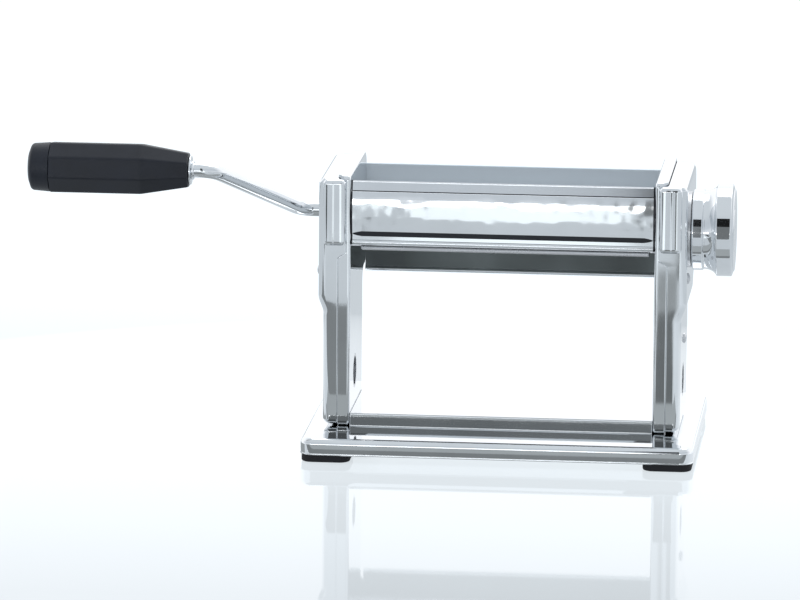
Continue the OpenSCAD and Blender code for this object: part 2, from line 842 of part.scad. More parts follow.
// Places the crank: local X points away from the stand, local Y along the throw
module crank_place() {
  translate([0, drive_y, roller_z]) rotate([-crank_lift, 0, 0]) rotate([0, 0, 180]) children();
}

// A bend of a round rod that starts at the origin along X and turns towards Y
module rod_bend(r, bend_r, angle) {
  translate([0, bend_r, 0]) rotate([0, 0, -90]) rotate_extrude(angle = angle)
    translate([bend_r, 0]) circle(r);
}

// A straight round rod along local X
module rod_run(x0, x1, r) {
  translate([x0, 0, 0]) rotate([0, 90, 0]) cylinder(h = x1 - x0, r = r);
}

// Bent steel rod with a square end for the shaft and a collar for the grip
module crank_rod() {
  arm_len = sqrt(pow(crank_throw, 2) + pow(crank_lean, 2)) - 2 * bend_tangent;
  key_end_x = crank_end_x + crank_key_len;
  bend_rod_r = crank_r + bend_swell;
  color(chrome) crank_place() {
    translate([crank_end_x, -socket_key / 2, -socket_key / 2])
      cube([crank_key_len + bend_lap, socket_key, socket_key]);
    rod_run(key_end_x, crank_corner_x - bend_tangent + bend_lap, crank_r);
    translate([crank_corner_x - bend_tangent, 0, 0]) {
      rod_bend(bend_rod_r, crank_bend_r, crank_angle);
      translate([crank_bend_r * sin(crank_angle), crank_bend_r * (1 - cos(crank_angle)), 0])
        rotate([0, 0, crank_angle]) {
          rod_run(-bend_lap, arm_len + bend_lap, crank_r);
          translate([arm_len, 0, 0]) mirror([0, 1, 0]) rod_bend(bend_rod_r, crank_bend_r, crank_angle);
        }
    }
    translate([0, crank_throw, 0]) difference() {
      union() {
        rod_run(crank_outer_x + bend_tangent - bend_lap, grip_rod_end_x, crank_r);
        rod_run(grip_x - washer_t - collar_t - washer_gap, grip_x - washer_t - washer_gap,
          crank_r + collar_out);
      }
      translate([grip_clip_x() - fixed_fit, 0, 0]) rotate([0, 90, 0]) difference() {
        cylinder(h = grip_clip_t + 2 * fixed_fit, r = crank_r + over);
        cylinder(h = grip_clip_t + 2 * fixed_fit, r = crank_r - clip_groove);
      }
    }
  }
}

// Place of the clip that holds the grip on the rod
function grip_clip_x() = grip_body_end_x - grip_pocket + clip_gap;

// A ring round the grip's axis
module grip_ring(x0, x1, r_out, r_in) {
  crank_place() translate([0, crank_throw, 0]) difference() {
    rod_run(x0, x1, r_out);
    rod_run(x0 - over, x1 + over, r_in);
  }
}

module grip_washer() {
  color(chrome) grip_ring(grip_x - washer_t - washer_gap, grip_x - washer_gap,
    grip_neck_r - washer_in, crank_r + fixed_fit);
}

module grip_clip() {
  color(steel) grip_ring(grip_clip_x(), grip_clip_x() + grip_clip_t,
    grip_clip_r, crank_r - clip_groove + fixed_fit);
}

// Eight-sided grip that tapers to the rod
module grip() {
  body_len = grip_body_end_x - grip_x;
  color(black_plastic) crank_place() translate([0, crank_throw, 0]) difference() {
    translate([grip_x, 0, 0]) rotate([0, 90, 0]) rotate(grip_turn) {
      cylinder(h = grip_taper, r1 = grip_neck_r, r2 = grip_r, $fn = 8);
      translate([0, 0, grip_taper]) cylinder(h = body_len - grip_taper, r = grip_r, $fn = 8);
    }
    rod_run(grip_x - over, grip_body_end_x + over, crank_r + running_fit);
    rod_run(grip_body_end_x - grip_pocket, grip_body_end_x + over, grip_pocket_r);
  }
}

// Round cap that closes the grip's end, with a low crown
module grip_end_cap() {
  edge_x = grip_cap_len - grip_cap_crown - grip_cap_round;
  edge_r = grip_cap_end_r - grip_cap_round;
  color(black_plastic) crank_place() translate([grip_body_end_x, crank_throw, 0]) rotate([0, 90, 0])
    rotate_extrude() polygon([
      [0, -grip_spigot],
      [grip_pocket_r - fixed_fit, -grip_spigot],
      [grip_pocket_r - fixed_fit, 0],
      [grip_cap_r, 0],
      for (a = [0 : 15 : 75])
        [edge_r + grip_cap_round * cos(a), edge_x + grip_cap_round * sin(a)],
      [0, grip_cap_len]
    ]);
}

// Cuts a flat along the dial end of the eccentric axle, or along the hole that fits it
module dial_flat(r, flat, x0, x1) {
  difference() {
    bar_x(x0, x1, dial_y, roller_z, r);
    translate([x0 - over, dial_y - 2 * r, roller_z + flat]) cube([x1 - x0 + 2 * over, 4 * r, 2 * r]);
  }
}

// Axle of the front roller: its middle runs off the axis of its two journals
module eccentric_axle() {
  color(steel) difference() {
    union() {
      bar_x(-axle_left_x, right_journal_x, front_y, roller_z, axle_r);
      bar_x(-head_wall_x + axle_end_gap, -axle_left_x, dial_y, roller_z, left_journal_r);
      bar_x(right_journal_x, axle_end_x, dial_y, roller_z, right_journal_r);
      dial_flat(axle_r, axle_flat, axle_end_x, axle_tip_x);
    }
    bar_x(axle_tip_x - dial_screw_len - over, axle_tip_x + over, dial_y, roller_z, dial_screw_r + fixed_fit);
  }
}

// Screw that holds the dial's spring on the axle
module dial_screw() {
  color(steel) {
    bar_x(axle_tip_x - dial_screw_len, axle_tip_x + over, dial_y, roller_z, dial_screw_r);
    bar_x(axle_tip_x, axle_tip_x + dial_screw_head_h, dial_y, roller_z, dial_screw_head_r);
  }
}

// Point on the spring's wire after a share of its length, and the ring of points round it
spring_run = axle_tip_x - spring_seat_x - 2 * spring_wire_r - 2 * spring_gap;
function spring_point(t, side) =
  let (turn = 360 * spring_turns * t, around = 60 * side, r = spring_mid_r + spring_wire_r * cos(around))
  [spring_run * t + spring_wire_r * sin(around), r * cos(turn), r * sin(turn)];

// Helical spring that presses the dial knob against the stand
module dial_spring() {
  rings = spring_turns * 12;
  sides = 6;
  points = [for (i = [0 : rings], s = [0 : sides - 1]) spring_point(i / rings, s)];
  walls = [for (i = [0 : rings - 1], s = [0 : sides - 1]) let (n = (s + 1) % sides)
    each [
      [i * sides + s, (i + 1) * sides + s, (i + 1) * sides + n],
      [i * sides + s, (i + 1) * sides + n, i * sides + n]
    ]];
  first_end = [for (s = [1 : sides - 2]) [0, s, s + 1]];
  last_end = [for (s = [1 : sides - 2]) [rings * sides, rings * sides + s + 1, rings * sides + s]];
  color(steel) translate([spring_seat_x + spring_wire_r + spring_gap, dial_y, roller_z])
    polyhedron(points, concat(walls, first_end, last_end));
}

// Waisted dial knob, hollow for its spring
module dial_knob() {
  inner_flange = 0.27 * knob_len;
  outer_flange = 0.57 * knob_len;
  chamfer_x = 0.94 * knob_len;
  edge = knob_edge;
  color(chrome) difference() {
    turned_x(dial_y, roller_z) polygon([
      [0, knob_x],
      [knob_inner_r - edge, knob_x],
      [knob_inner_r, knob_x + edge],
      [knob_inner_r, knob_x + inner_flange - edge],
      for (t = [0 : 0.125 : 1])
        [knob_waist_r + (knob_inner_r - edge / 2 - knob_waist_r) * pow(1 - t, 2)
          + (knob_r - edge - knob_waist_r) * pow(t, 3),
          knob_x + inner_flange + (outer_flange - inner_flange) * t],
      [knob_r, knob_x + outer_flange + edge],
      [knob_r, knob_x + chamfer_x - edge],
      [knob_r - edge, knob_x + chamfer_x],
      [knob_r - knob_chamfer, knob_end_x - knob_rim],
      [knob_r - knob_chamfer - knob_rim, knob_end_x],
      [0, knob_end_x]
    ]);
    dial_flat(axle_r + running_fit, axle_flat + running_fit, knob_x - over, spring_seat_x + over);
    bar_x(spring_seat_x, knob_end_x + over, dial_y, roller_z, spring_bore_r);
    bar_x(knob_end_x - dial_cap_t, knob_end_x + over, dial_y, roller_z, dial_cap_r + fixed_fit);
    bar_x(knob_x - over, knob_x + pin_depth, dial_y, roller_z + pin_circle_r, pin_r + fixed_fit);
  }
}

// Pin in the back of the dial knob that runs in the index plate's slot
module dial_pin() {
  color(steel) bar_x(head_x + pin_gap, knob_x + pin_depth, dial_y, roller_z + pin_circle_r, pin_r);
}

// Disc that closes the dial knob's end
module dial_cap() {
  color(chrome) bar_x(knob_end_x - dial_cap_t, knob_end_x, dial_y, roller_z, dial_cap_r);
}

// An arm from a ring round the front roller's axis out to its scraper
module scraper_carrier(x0, x1, bore_r) {
  color(steel) along_x(x0, x1) translate([front_y, roller_z]) difference() {
    union() {
      circle(bore_r + carrier_wall);
      rotate(180 + scraper_angle) translate([0, -scraper_t])
        square([roller_r + scraper_gap + scraper_len, 2 * scraper_t]);
    }
    circle(bore_r);
  }
}

module scraper_carriers() {
  scraper_carrier(-carrier_x - carrier_t, -carrier_x, neck_r + running_fit);
  scraper_carrier(carrier_x, carrier_x + carrier_t, axle_r + running_fit);
}

module front_scraper() {
  color(steel) scraper_blade(front_y, roller_z, 180 + scraper_angle, carrier_x);
}

// Adjustable front roller: a tube with a hollow neck at its left end
module front_roller() {
  color(steel) difference() {
    union() {
      bar_x(-roller_x, roller_x, front_y, roller_z, roller_r);
      bar_x(-neck_end_x, -roller_x, front_y, roller_z, neck_r);
    }
    bar_x(-roller_x + roller_end_wall, roller_x + over, front_y, roller_z, roller_bore_r());
    bar_x(-neck_end_x - over, 0, front_y, roller_z, axle_r + axle_gap);
  }
}

// Bore of the front roller, for its bushes
function roller_bore_r() = axle_r + running_fit + bush_wall + roller_bush_extra;

module front_gear() {
  shift_angle = gear_shift / gear_pitch_r * 180 / PI;
  spur_gear(front_y, 180 / gear_teeth + shift_angle, neck_r + fixed_fit);
}

// Bushes between the front roller and the eccentric axle
module roller_bushes() {
  color(bronze) {
    ring_x(-roller_x + roller_end_wall, -roller_x + roller_end_wall + roller_bush_len, front_y, roller_z,
      roller_bore_r() - fixed_fit, axle_r + running_fit);
    ring_x(roller_x - roller_bush_len, roller_x, front_y, roller_z,
      roller_bore_r() - fixed_fit, axle_r + running_fit);
  }
}

base_plate();
rubber_feet();
base_bridge();
base_screws();
base_nuts();
left_side_plate();
right_side_plate();
left_side_cover();
right_side_cover();
cover_screws();
clamp_sockets();
front_cover();
rear_cover();
tie_rods();
tie_rod_screws();
rear_scraper();
drive_bushes();
axle_bush_left();
axle_bush_right();
index_plate();
rear_roller();
drive_shaft();
drive_gear();
shaft_clip();
crank_rod();
grip_washer();
grip_clip();
grip();
grip_end_cap();
eccentric_axle();
dial_screw();
dial_spring();
dial_knob();
dial_pin();
dial_cap();
scraper_carriers();
front_scraper();
front_roller();
front_gear();
roller_bushes();
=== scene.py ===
"""Dressed model of a hand-cranked pasta machine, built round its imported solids.

Lengths inside the shape functions are millimetres, in the frame of the solids:
X runs along the rollers to the dial, Y to the back and Z up from the table.
"""

import json
import math

import bmesh
import bpy
import numpy as np
from bpy.props import FloatProperty, FloatVectorProperty, PointerProperty
from bpy.types import Operator, Panel, PropertyGroup
from mathutils import Matrix, Vector
from mathutils.geometry import delaunay_2d_cdt


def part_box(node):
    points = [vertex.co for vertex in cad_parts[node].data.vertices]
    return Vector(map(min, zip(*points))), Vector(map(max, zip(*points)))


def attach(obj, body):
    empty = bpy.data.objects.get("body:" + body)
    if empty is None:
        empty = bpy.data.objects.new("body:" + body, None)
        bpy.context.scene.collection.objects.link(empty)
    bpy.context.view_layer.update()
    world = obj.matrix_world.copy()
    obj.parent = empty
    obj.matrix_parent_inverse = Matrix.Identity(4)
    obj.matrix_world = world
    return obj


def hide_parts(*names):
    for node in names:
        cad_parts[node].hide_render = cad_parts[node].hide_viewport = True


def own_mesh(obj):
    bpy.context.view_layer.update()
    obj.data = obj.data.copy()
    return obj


bl_info = {
    "name": "Pasta machine",
    "version": (1, 0, 0),
    "blender": (4, 5, 0),
    "location": "3D View > Sidebar > Pasta",
    "description": "Builds the chrome shells, rollers, dial and crank of a pasta machine",
    "category": "Object",
}

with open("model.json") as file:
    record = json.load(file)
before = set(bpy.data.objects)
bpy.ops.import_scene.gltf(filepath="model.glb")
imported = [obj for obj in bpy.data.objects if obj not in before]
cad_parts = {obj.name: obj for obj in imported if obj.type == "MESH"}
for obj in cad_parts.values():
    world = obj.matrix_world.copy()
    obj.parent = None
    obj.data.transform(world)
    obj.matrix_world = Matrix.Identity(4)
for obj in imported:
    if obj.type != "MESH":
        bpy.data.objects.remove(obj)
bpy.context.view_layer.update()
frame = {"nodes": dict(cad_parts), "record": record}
MM = 0.001


def length(label, text, value):
    """A length property, with its default given in millimetres."""
    return FloatProperty(
        name=label, description=text, default=value * MM, min=0, subtype="DISTANCE", unit="LENGTH"
    )


def angle(label, text, value):
    """An angle property, with its default given in degrees."""
    return FloatProperty(
        name=label, description=text, default=math.radians(value), subtype="ANGLE", unit="ROTATION"
    )


def tint(label, text, value):
    """A colour property."""
    return FloatVectorProperty(
        name=label, description=text, default=value, size=3, min=0, max=1, subtype="COLOR"
    )


class PASTA_base_sizes(PropertyGroup):
    """Sizes of the base plate, the bridge and the feet."""

    sheet: length("Sheet", "Thickness of the base's sheet", 1.2)
    corner: length("Corner", "Corner radius of the base seen from above", 8)
    edge: length("Edge", "Radius of the base's upper edge", 3.5)
    lip: length("Lip", "How far the rim's lower lip stands out", 0.12)
    slope: length("Slope", "Width of the strip where the base's top slopes to its edge", 16)
    fall: length("Fall", "How far the base's top falls over that strip", 0.7)
    bridge_edge: length("Bridge edge", "Radius of the bridge's upper edge", 0.75)
    bridge_fold: length("Bridge fold", "Radius inside the bridge's folded edge", 0.1)
    bridge_flare: length("Bridge flare", "How far the bridge's foot flares out", 0.3)
    foot: length("Foot", "Width of a rubber foot", 27)
    foot_corner: length("Foot corner", "Corner radius of a rubber foot", 6)
    foot_boss: length("Foot boss", "Radius of the boss above a foot", 7)


class PASTA_stand_sizes(PropertyGroup):
    """Sizes of the two stands."""

    sheet: length("Sheet", "Thickness of the stands' sheet", 1.5)
    inner_depth: length("Inner shell", "Depth of the inner shell", 7)
    leg_depth: length("Outer shell at the leg", "Depth of the outer shell beside the leg", 8.2)
    leg_rear: length("Leg rear", "From the middle to the leg's rear face", 24)
    head_low: length("Head low", "Height of the head's lower edge", 90)
    head_corner: length("Head corner", "Radius of the head's rear corners", 9)
    hollow: length("Hollow", "Radius of the hollow corner under the head", 8)
    front_corner: length("Front corner", "Radius of the front corners", 3)
    inner_edge: length("Inner edge", "Radius of the inner shell's pressed edge", 1.7)
    outer_edge: length("Outer edge", "Radius of the outer shell's pressed edge", 4.2)
    seam: length("Seam", "Edge radius of the two shells at their seam", 0.5)
    step_low: length("Step low", "Height where the outer shell starts to step out", 77)
    step_high: length("Step high", "Height where the outer shell has stepped out", 87)
    rail_width: length("Rail width", "Width of an attachment rail", 12.6)
    rail_in: length("Rail in", "Distance of a rail from the stand's inner face", 2.5)
    rail_length: length("Rail length", "Length of a rail", 37)
    rail_edge: length("Rail edge", "Radius of a rail's edges and corners", 2.6)
    rail_step: length("Rail step", "How far the inner side of a rail's front is set back", 0.17)
    rail_slope: length("Rail slope", "Width of the slope that sets it back", 0.8)
    tab_low: length("Tab low", "Height where the outer shell starts to reach over the inner one", 108.2)
    tab_high: length("Tab high", "Height where it has reached over", 112.2)
    socket: length("Socket", "Outer radius of a clamp socket", 9.58)
    bush_hole: length("Bush hole", "Radius of a plate's hole for the drive bush", 10.58)
    left_axle_hole: length("Left axle hole", "Radius of the left plate's hole for the axle", 11.9)
    right_axle_hole: length("Right axle hole", "Radius of the right plate's hole for the axle", 11.08)
    crank_hole: length("Crank hole", "Radius of the hole for the crank", 5.5)
    dial_hole: length("Dial hole", "Radius of the hole behind the dial", 9.5)


class PASTA_cover_sizes(PropertyGroup):
    """Sizes of the front and rear covers."""

    sheet: length("Sheet", "Thickness of the covers' sheet", 1.2)
    # The end gaps are coloured black as painted shade.
    end_gap: length("End gap", "Width of the dark gap at a cover's ends", 0.9)
    front: length("Front", "From the middle to the front cover's crease", 44)
    crease_band: length("Crease band", "Height of the narrow band above the crease", 5.5)
    crease_lean: length("Crease lean", "How far that band leans back", 1.5)
    front_bulge: length("Front bulge", "How far the front cover bulges forward", 1)
    groove: length("Groove", "Height of the groove above the rolled bead", 3)
    groove_depth: length("Groove depth", "Depth of the groove", 0.8)
    groove_rise: length("Groove rise", "Height of the flat band between the bead and the groove", 1.7)
    groove_back: length("Groove back", "How far the groove's floor lies behind the crease", 1.4)
    groove_fade: length("Groove fade", "Length over which the groove narrows at its ends", 5)
    bead: length("Bead", "Radius of the rolled beads", 1.6)
    rear: length("Rear", "From the middle to the rear cover's edges", 39)
    rear_bulge: length("Rear bulge", "How far the rear cover bulges back", 4)


class PASTA_dial_sizes(PropertyGroup):
    """Sizes of the dial."""

    inner_flange: length("Inner flange", "Radius of the inner flange", 22.4)
    waist: length("Waist", "Radius of the waist", 22)
    outer_flange: length("Outer flange", "Radius of the outer flange", 25.5)
    edge: length("Edge", "Radius of the flanges' edges", 0.8)
    cap: length("End disc", "Radius of the end disc", 12)
    bore: length("Bore", "Radius of the dial's bore", 6.05)
    pocket: length("Pocket", "Radius of the pocket for the spring", 10)
    web: length("Web", "Thickness of the wall under the pocket", 7.2)
    pull: length("Pull", "How far the dial pulls out", 5)
    spring: length("Spring", "Radius of the dial spring's coil, to the middle of its wire", 8)
    wire: length("Wire", "Radius of the spring's wire", 0.7)


class PASTA_crank_sizes(PropertyGroup):
    """Sizes of the crank and its grip."""

    rod: length("Rod", "Radius of the rod", 4)
    key: length("Key", "Width of the rod's square end", 5.4)
    key_length: length("Key length", "Length of the square end", 14)
    key_corner: length("Key corner", "Radius of the circle that trims the square end's corners", 3.6)
    first_bend: length("First bend", "Distance of the first bend's corner from the middle", 118)
    lean: length("Lean", "How far the arm leans away from the stand", 40)
    throw: length("Throw", "Distance of the grip's axis from the shaft's axis", 90)
    bend: length("Bend", "Radius of the bends", 12)
    collar: length("Collar", "Radius of the collar before the grip", 5.2)
    collar_width: length("Collar width", "Width of the collar", 1.5)
    grip_neck: length("Grip neck", "Radius of the eight corners at the thin end", 10.1)
    grip_body: length("Grip body", "Radius of the eight corners of the body", 14.8)
    grip_taper: length("Grip taper", "Length of the taper", 26)
    corner_cut: length("Corner cut", "How much the grip's eight corners are rounded off", 0.175)
    spigot: length("Spigot", "Radius of the end cap's spigot", 7.9)
    cap_edge: length("Cap edge", "Radius of the end cap's outer edge", 2.4)
    cap_end: length("Cap end", "Radius of the end cap at its outer end", 13)
    lift: angle("Lift", "Angle of the crank above the horizontal", 23)
    grip_flat: angle("Grip flat", "Angle of the grip's front flat above the horizontal", 8)


class PASTA_roller_sizes(PropertyGroup):
    """Sizes of the two rollers."""

    edge: length("Edge", "Radius of the rollers' edges", 0.8)
    rear_bore: length("Rear bore", "Radius of the rear roller's bore", 8.02)
    front_bore: length("Front bore", "Radius of the front roller's bore", 6.4)
    neck: length("Neck", "Radius of the front roller's neck", 9)


class PASTA_finish(PropertyGroup):
    """Colours of the finishes, and the heights where they change."""

    chrome: tint("Chrome", "Colour of the chromed sheet", (0.80, 0.82, 0.84))
    steel: tint("Steel", "Colour of the bright steel", (0.62, 0.63, 0.65))
    # The rollers' colour is satin steel darkened as painted shade, for the shade the front cover casts on
    # them.
    roller: tint("Roller", "Colour of the satin rollers", (0.22, 0.23, 0.245))
    bronze: tint("Bronze", "Colour of the bushes", (0.72, 0.50, 0.26))
    plastic: tint("Plastic", "Colour of the grip", (0.009, 0.011, 0.017))
    rubber: tint("Rubber", "Colour of the feet", (0.008, 0.008, 0.010))
    # The rear cover's inner face is painted: its near-white colour is painted light, its colour under the
    # rollers is painted shade, and the two heights set where the shade fades into the light.
    inside: tint("Inside", "Colour of the rear cover's dull inner face", (0.86, 0.94, 1.0))
    inside_painted_shade: tint("Inside, low", "Colour of that face under the rollers", (0.21, 0.24, 0.24))
    inside_from: length("Inside, from", "Height where that face starts to lighten", 112)
    inside_to: length("Inside, to", "Height where it has lightened", 130)
    wave_low: length("Wave low", "Height where the front cover's waves start", 124)
    wave_high: length("Wave high", "Height where they end", 146)


class PASTA_stage_sizes(PropertyGroup):
    """The camera and the floor."""

    focal: FloatProperty(name="Focal length", description="Focal length of the camera in mm", default=322.05)
    distance: length("Distance", "Distance of the camera from its target", 4000.09)
    azimuth: angle("Azimuth", "Camera angle round the machine", 5.36)
    elevation: angle("Elevation", "Camera angle above the horizon", 11.0)
    roll: angle("Roll", "Camera roll", 0.44)
    target: FloatVectorProperty(
        name="Target", description="Point at the middle of the picture",
        default=(-0.06054, 0, 0.07719), subtype="XYZ",
    )
    floor: tint("Floor", "Colour of the floor", (0.13, 0.14, 0.15))


def span(node):
    """Lowest and highest corner of a solid, in millimetres."""
    low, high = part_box(node)
    return np.array(low) / MM, np.array(high) / MM


def axis(node):
    """Y and Z of a solid's middle, in millimetres."""
    low, high = span(node)
    return (low[1:] + high[1:]) / 2


def sizes(group, names):
    """Lengths of a property group in millimetres, in the order of the names."""
    return [getattr(group, name) / MM for name in names.split()]


def arc(u, v, r, first, last, count=9):
    """Points on a circle about (u, v) with radius r, from the first to the last angle in degrees."""
    a = np.radians(np.linspace(first, last, count))
    return np.stack([u + r * np.cos(a), v + r * np.sin(a)], -1)


def upright(y, z):
    """Points at one Y and several heights."""
    return np.column_stack([np.full(len(z), y), z])


def smooth_step(t):
    """A share that starts and ends level: three t squared less two t cubed, held between 0 and 1."""
    t = np.clip(t, 0, 1)
    return t * t * (3 - 2 * t)


def loft(rings, loop=False):
    """A skin over a stack of closed rings: each ring is joined to the next by quads.
    A flat face closes each end, or with loop the last ring is joined to the first."""
    n, m = rings.shape[:2]
    i = np.arange(n if loop else n - 1)[:, None]
    j = np.arange(m)[None, :]
    k = (j + 1) % m
    up = (i + 1) % n
    faces = np.stack([i * m + j, i * m + k, up * m + k, up * m + j], -1).reshape(-1, 4).tolist()
    if not loop:
        faces += [list(range(m)), list(range((n - 1) * m, n * m))]
    return rings.reshape(-1, 3), faces


def lathe(profile, y, z, count=96, loop=False):
    """A profile of X and radius turned round an axis along X: each point runs round a circle."""
    a = np.linspace(0, 2 * np.pi, count, endpoint=False)
    x, r = np.asarray(profile, float).T[:, :, None]
    rings = np.stack([x + 0 * a, y + r * np.cos(a), z + r * np.sin(a)], -1)
    return loft(rings, loop)


def round_rect(width, depth, corner):
    """A rectangle about the origin whose corners are quarter circles."""
    u, v = width / 2 - corner, depth / 2 - corner
    quarters = []
    for i, (su, sv) in enumerate(((1, 1), (-1, 1), (-1, -1), (1, -1))):
        quarters.append(arc(su * u, sv * v, corner, 90 * i, 90 * i + 90))
    return np.concatenate(quarters)


def slab(width, depth, corner, profile, centre=(0, 0)):
    """A rounded rectangle carried up a profile of inset and height: the rectangle and its corners shrink
    by the inset."""
    rings = []
    for inset, z in profile:
        ring = round_rect(width - 2 * inset, depth - 2 * inset, max(corner - inset, 0.3)) + centre
        rings.append(np.column_stack([ring, np.full(len(ring), z)]))
    return loft(np.array(rings))


def joined(parts):
    """One list of points and faces out of several."""
    points, faces, start = [], [], 0
    for p, f in parts:
        points.append(p)
        faces += [[start + i for i in face] for face in f]
        start += len(p)
    return np.concatenate(points), faces


def make_piece(name, parts, body, nodes, slot, sharp=32, look=None, patch=None):
    """Puts the parts into one mesh at the origin, merges shared points, turns the faces outwards,
    and lets the piece ride on its body in place of the named solids. A patch is a second finish and
    a test on the faces' middles and normals that says where it goes."""
    points, faces = joined(parts)
    mesh = bpy.data.meshes.new(name)
    mesh.from_pydata((points * MM).tolist(), [], faces)
    work = bmesh.new()
    work.from_mesh(mesh)
    bmesh.ops.remove_doubles(work, verts=work.verts, dist=1e-6)
    bmesh.ops.recalc_face_normals(work, faces=work.faces)
    work.to_mesh(mesh)
    work.free()
    mesh.shade_smooth()
    mesh.set_sharp_from_angle(angle=math.radians(sharp))
    mesh.materials.append(finish(look or slot))
    if patch:
        mesh.materials.append(finish(patch[0]))
        middle, normal = np.empty((2, len(mesh.polygons) * 3))
        mesh.polygons.foreach_get("center", middle)
        mesh.polygons.foreach_get("normal", normal)
        inside = patch[1](middle.reshape(-1, 3) / MM, normal.reshape(-1, 3))
        mesh.polygons.foreach_set("material_index", inside.astype(np.int32))
    piece = bpy.data.objects.new(name, mesh)
    bpy.context.scene.collection.objects.link(piece)
    even = piece.modifiers.new("Even normals", "WEIGHTED_NORMAL")
    even.keep_sharp = True
    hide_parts(*nodes)
    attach(piece, body)
    return piece


def fill(tree, node, inputs):
    """Gives each named input of a node a value, or wires another node's output to it."""
    for name, value in inputs.items():
        if isinstance(value, bpy.types.NodeSocket):
            tree.links.new(value, node.inputs[name])
        else:
            node.inputs[name].default_value = value


def add_node(tree, kind, inputs, **settings):
    """A node with its settings and its inputs."""
    node = tree.nodes.new(kind)
    for name, value in settings.items():
        setattr(node, name, value)
    fill(tree, node, inputs)
    return node


def new_material(name):
    """An empty material: itself, its node tree and its shader."""
    material = bpy.data.materials.new(name)
    material.use_nodes = True
    tree = material.node_tree
    return material, tree, tree.nodes["Principled BSDF"]


def own_place(tree):
    """The piece's own coordinates."""
    return tree.nodes.new("ShaderNodeTexCoord").outputs["Object"]


def own_axes(tree):
    """X, Y and Z of the piece's own coordinates."""
    return add_node(tree, "ShaderNodeSeparateXYZ", {"Vector": own_place(tree)}).outputs


def grain(tree, scale, stretch=(1, 1, 1), detail=3.0):
    """A noise on the piece's own coordinates; scale is in features per metre, and stretch turns spots
    into lines."""
    mapping = add_node(tree, "ShaderNodeMapping", {"Vector": own_place(tree), "Scale": stretch})
    inputs = {"Vector": mapping.outputs["Vector"], "Scale": scale, "Detail": detail}
    return add_node(tree, "ShaderNodeTexNoise", inputs).outputs["Fac"]


def spread(tree, source, low, high, from_low=0.3, from_high=0.7):
    """Carries a value over from one range to another."""
    inputs = {"Value": source, "From Min": from_low, "From Max": from_high, "To Min": low, "To Max": high}
    return add_node(tree, "ShaderNodeMapRange", inputs).outputs["Result"]


def calculate(tree, operation, first, second):
    """Two values put together by a sum, a product or a comparison."""
    return add_node(tree, "ShaderNodeMath", {0: first, 1: second}, operation=operation).outputs["Value"]


def blend(tree, share, low, high):
    """A colour between two, by a share. Each of the two is a colour or another node's output."""
    inputs = {"Factor": share}
    for name, colour in (("A", low), ("B", high)):
        inputs[name] = colour if isinstance(colour, bpy.types.NodeSocket) else (*colour, 1)
    return add_node(tree, "ShaderNodeMix", inputs, data_type="RGBA").outputs["Result"]


def relief(tree, shader, layers):
    """Small bumps: each layer is a noise, its strength and its height in metres; they add up."""
    inputs = {}
    for source, strength, height in layers:
        inputs.update({"Height": source, "Strength": strength, "Distance": height})
        inputs["Normal"] = add_node(tree, "ShaderNodeBump", inputs).outputs["Normal"]
    fill(tree, shader, {"Normal": inputs["Normal"]})


def banded(tree, source, low, high):
    """A noise that fades out below one height and above another."""
    fade = 0.004
    z = own_axes(tree)["Z"]
    for edge, end in ((low, low + fade), (high, high - fade)):
        source = calculate(tree, "MULTIPLY", source, spread(tree, z, 0, 1, edge, end))
    return source


def scaled(colour, share):
    """A colour made darker or lighter."""
    return tuple(min(1.0, c * share) for c in colour)


def metal(name, colour, rough_low, rough_high, lines, wave, marks):
    """Metal with a cloudy change of colour and roughness, and with fine polishing lines or a slow wave in
    its surface."""
    material, tree, shader = new_material(name)
    cloud = grain(tree, 34, detail=4)
    tone = blend(tree, spread(tree, cloud, 0, 1), scaled(colour, 0.95), scaled(colour, 1.03))
    rough = spread(tree, cloud, rough_low, rough_high)
    fill(tree, shader, {"Base Color": tone, "Metallic": 1, "Roughness": rough})
    if wave:
        low, high, scale, stretch, strength, height = wave
        layers = [(banded(tree, grain(tree, scale, stretch, 1.0), low, high), strength, height)]
    else:
        layers = [(grain(tree, 60, lines, 2.0), marks, 0.00002)]
    relief(tree, shader, layers)
    return material


def dull_inside(name, colours):
    """Unpolished sheet whose colour changes with the height: dark and cloudy under the rollers as painted
    shade, near white above them as painted light.
    """
    material = metal(name, colours.inside, 0.38, 0.5, (1, 30, 30), None, 0.1)
    tree = material.node_tree
    clouds = spread(tree, grain(tree, 22, detail=1.5), 0, 1, 0.35, 0.65)
    # Painted shade under the rollers, with darker clouds in it.
    low = blend(tree, clouds, scaled(colours.inside_painted_shade, 0.55), colours.inside_painted_shade)
    share = spread(tree, own_axes(tree)["Z"], 0, 1, colours.inside_from, colours.inside_to)
    # Painted light: above the rollers the face turns near white.
    tone = blend(tree, share, low, colours.inside)
    fill(tree, tree.nodes["Principled BSDF"], {"Base Color": tone, "Metallic": 0.15})
    return material


def moulded(name, colour, rough_low, rough_high, scale, marks):
    """Plastic or rubber with a cloudy change of colour and roughness, and a fine grain in its surface."""
    material, tree, shader = new_material(name)
    cloud = grain(tree, 60, detail=5)
    tone = blend(tree, spread(tree, cloud, 0, 1), scaled(colour, 0.8), scaled(colour, 1.3))
    rough = spread(tree, cloud, rough_low, rough_high)
    fill(tree, shader, {"Base Color": tone, "Roughness": rough, "Specular IOR Level": 0.34})
    relief(tree, shader, [(grain(tree, scale, detail=2), marks, 0.00008)])
    return material


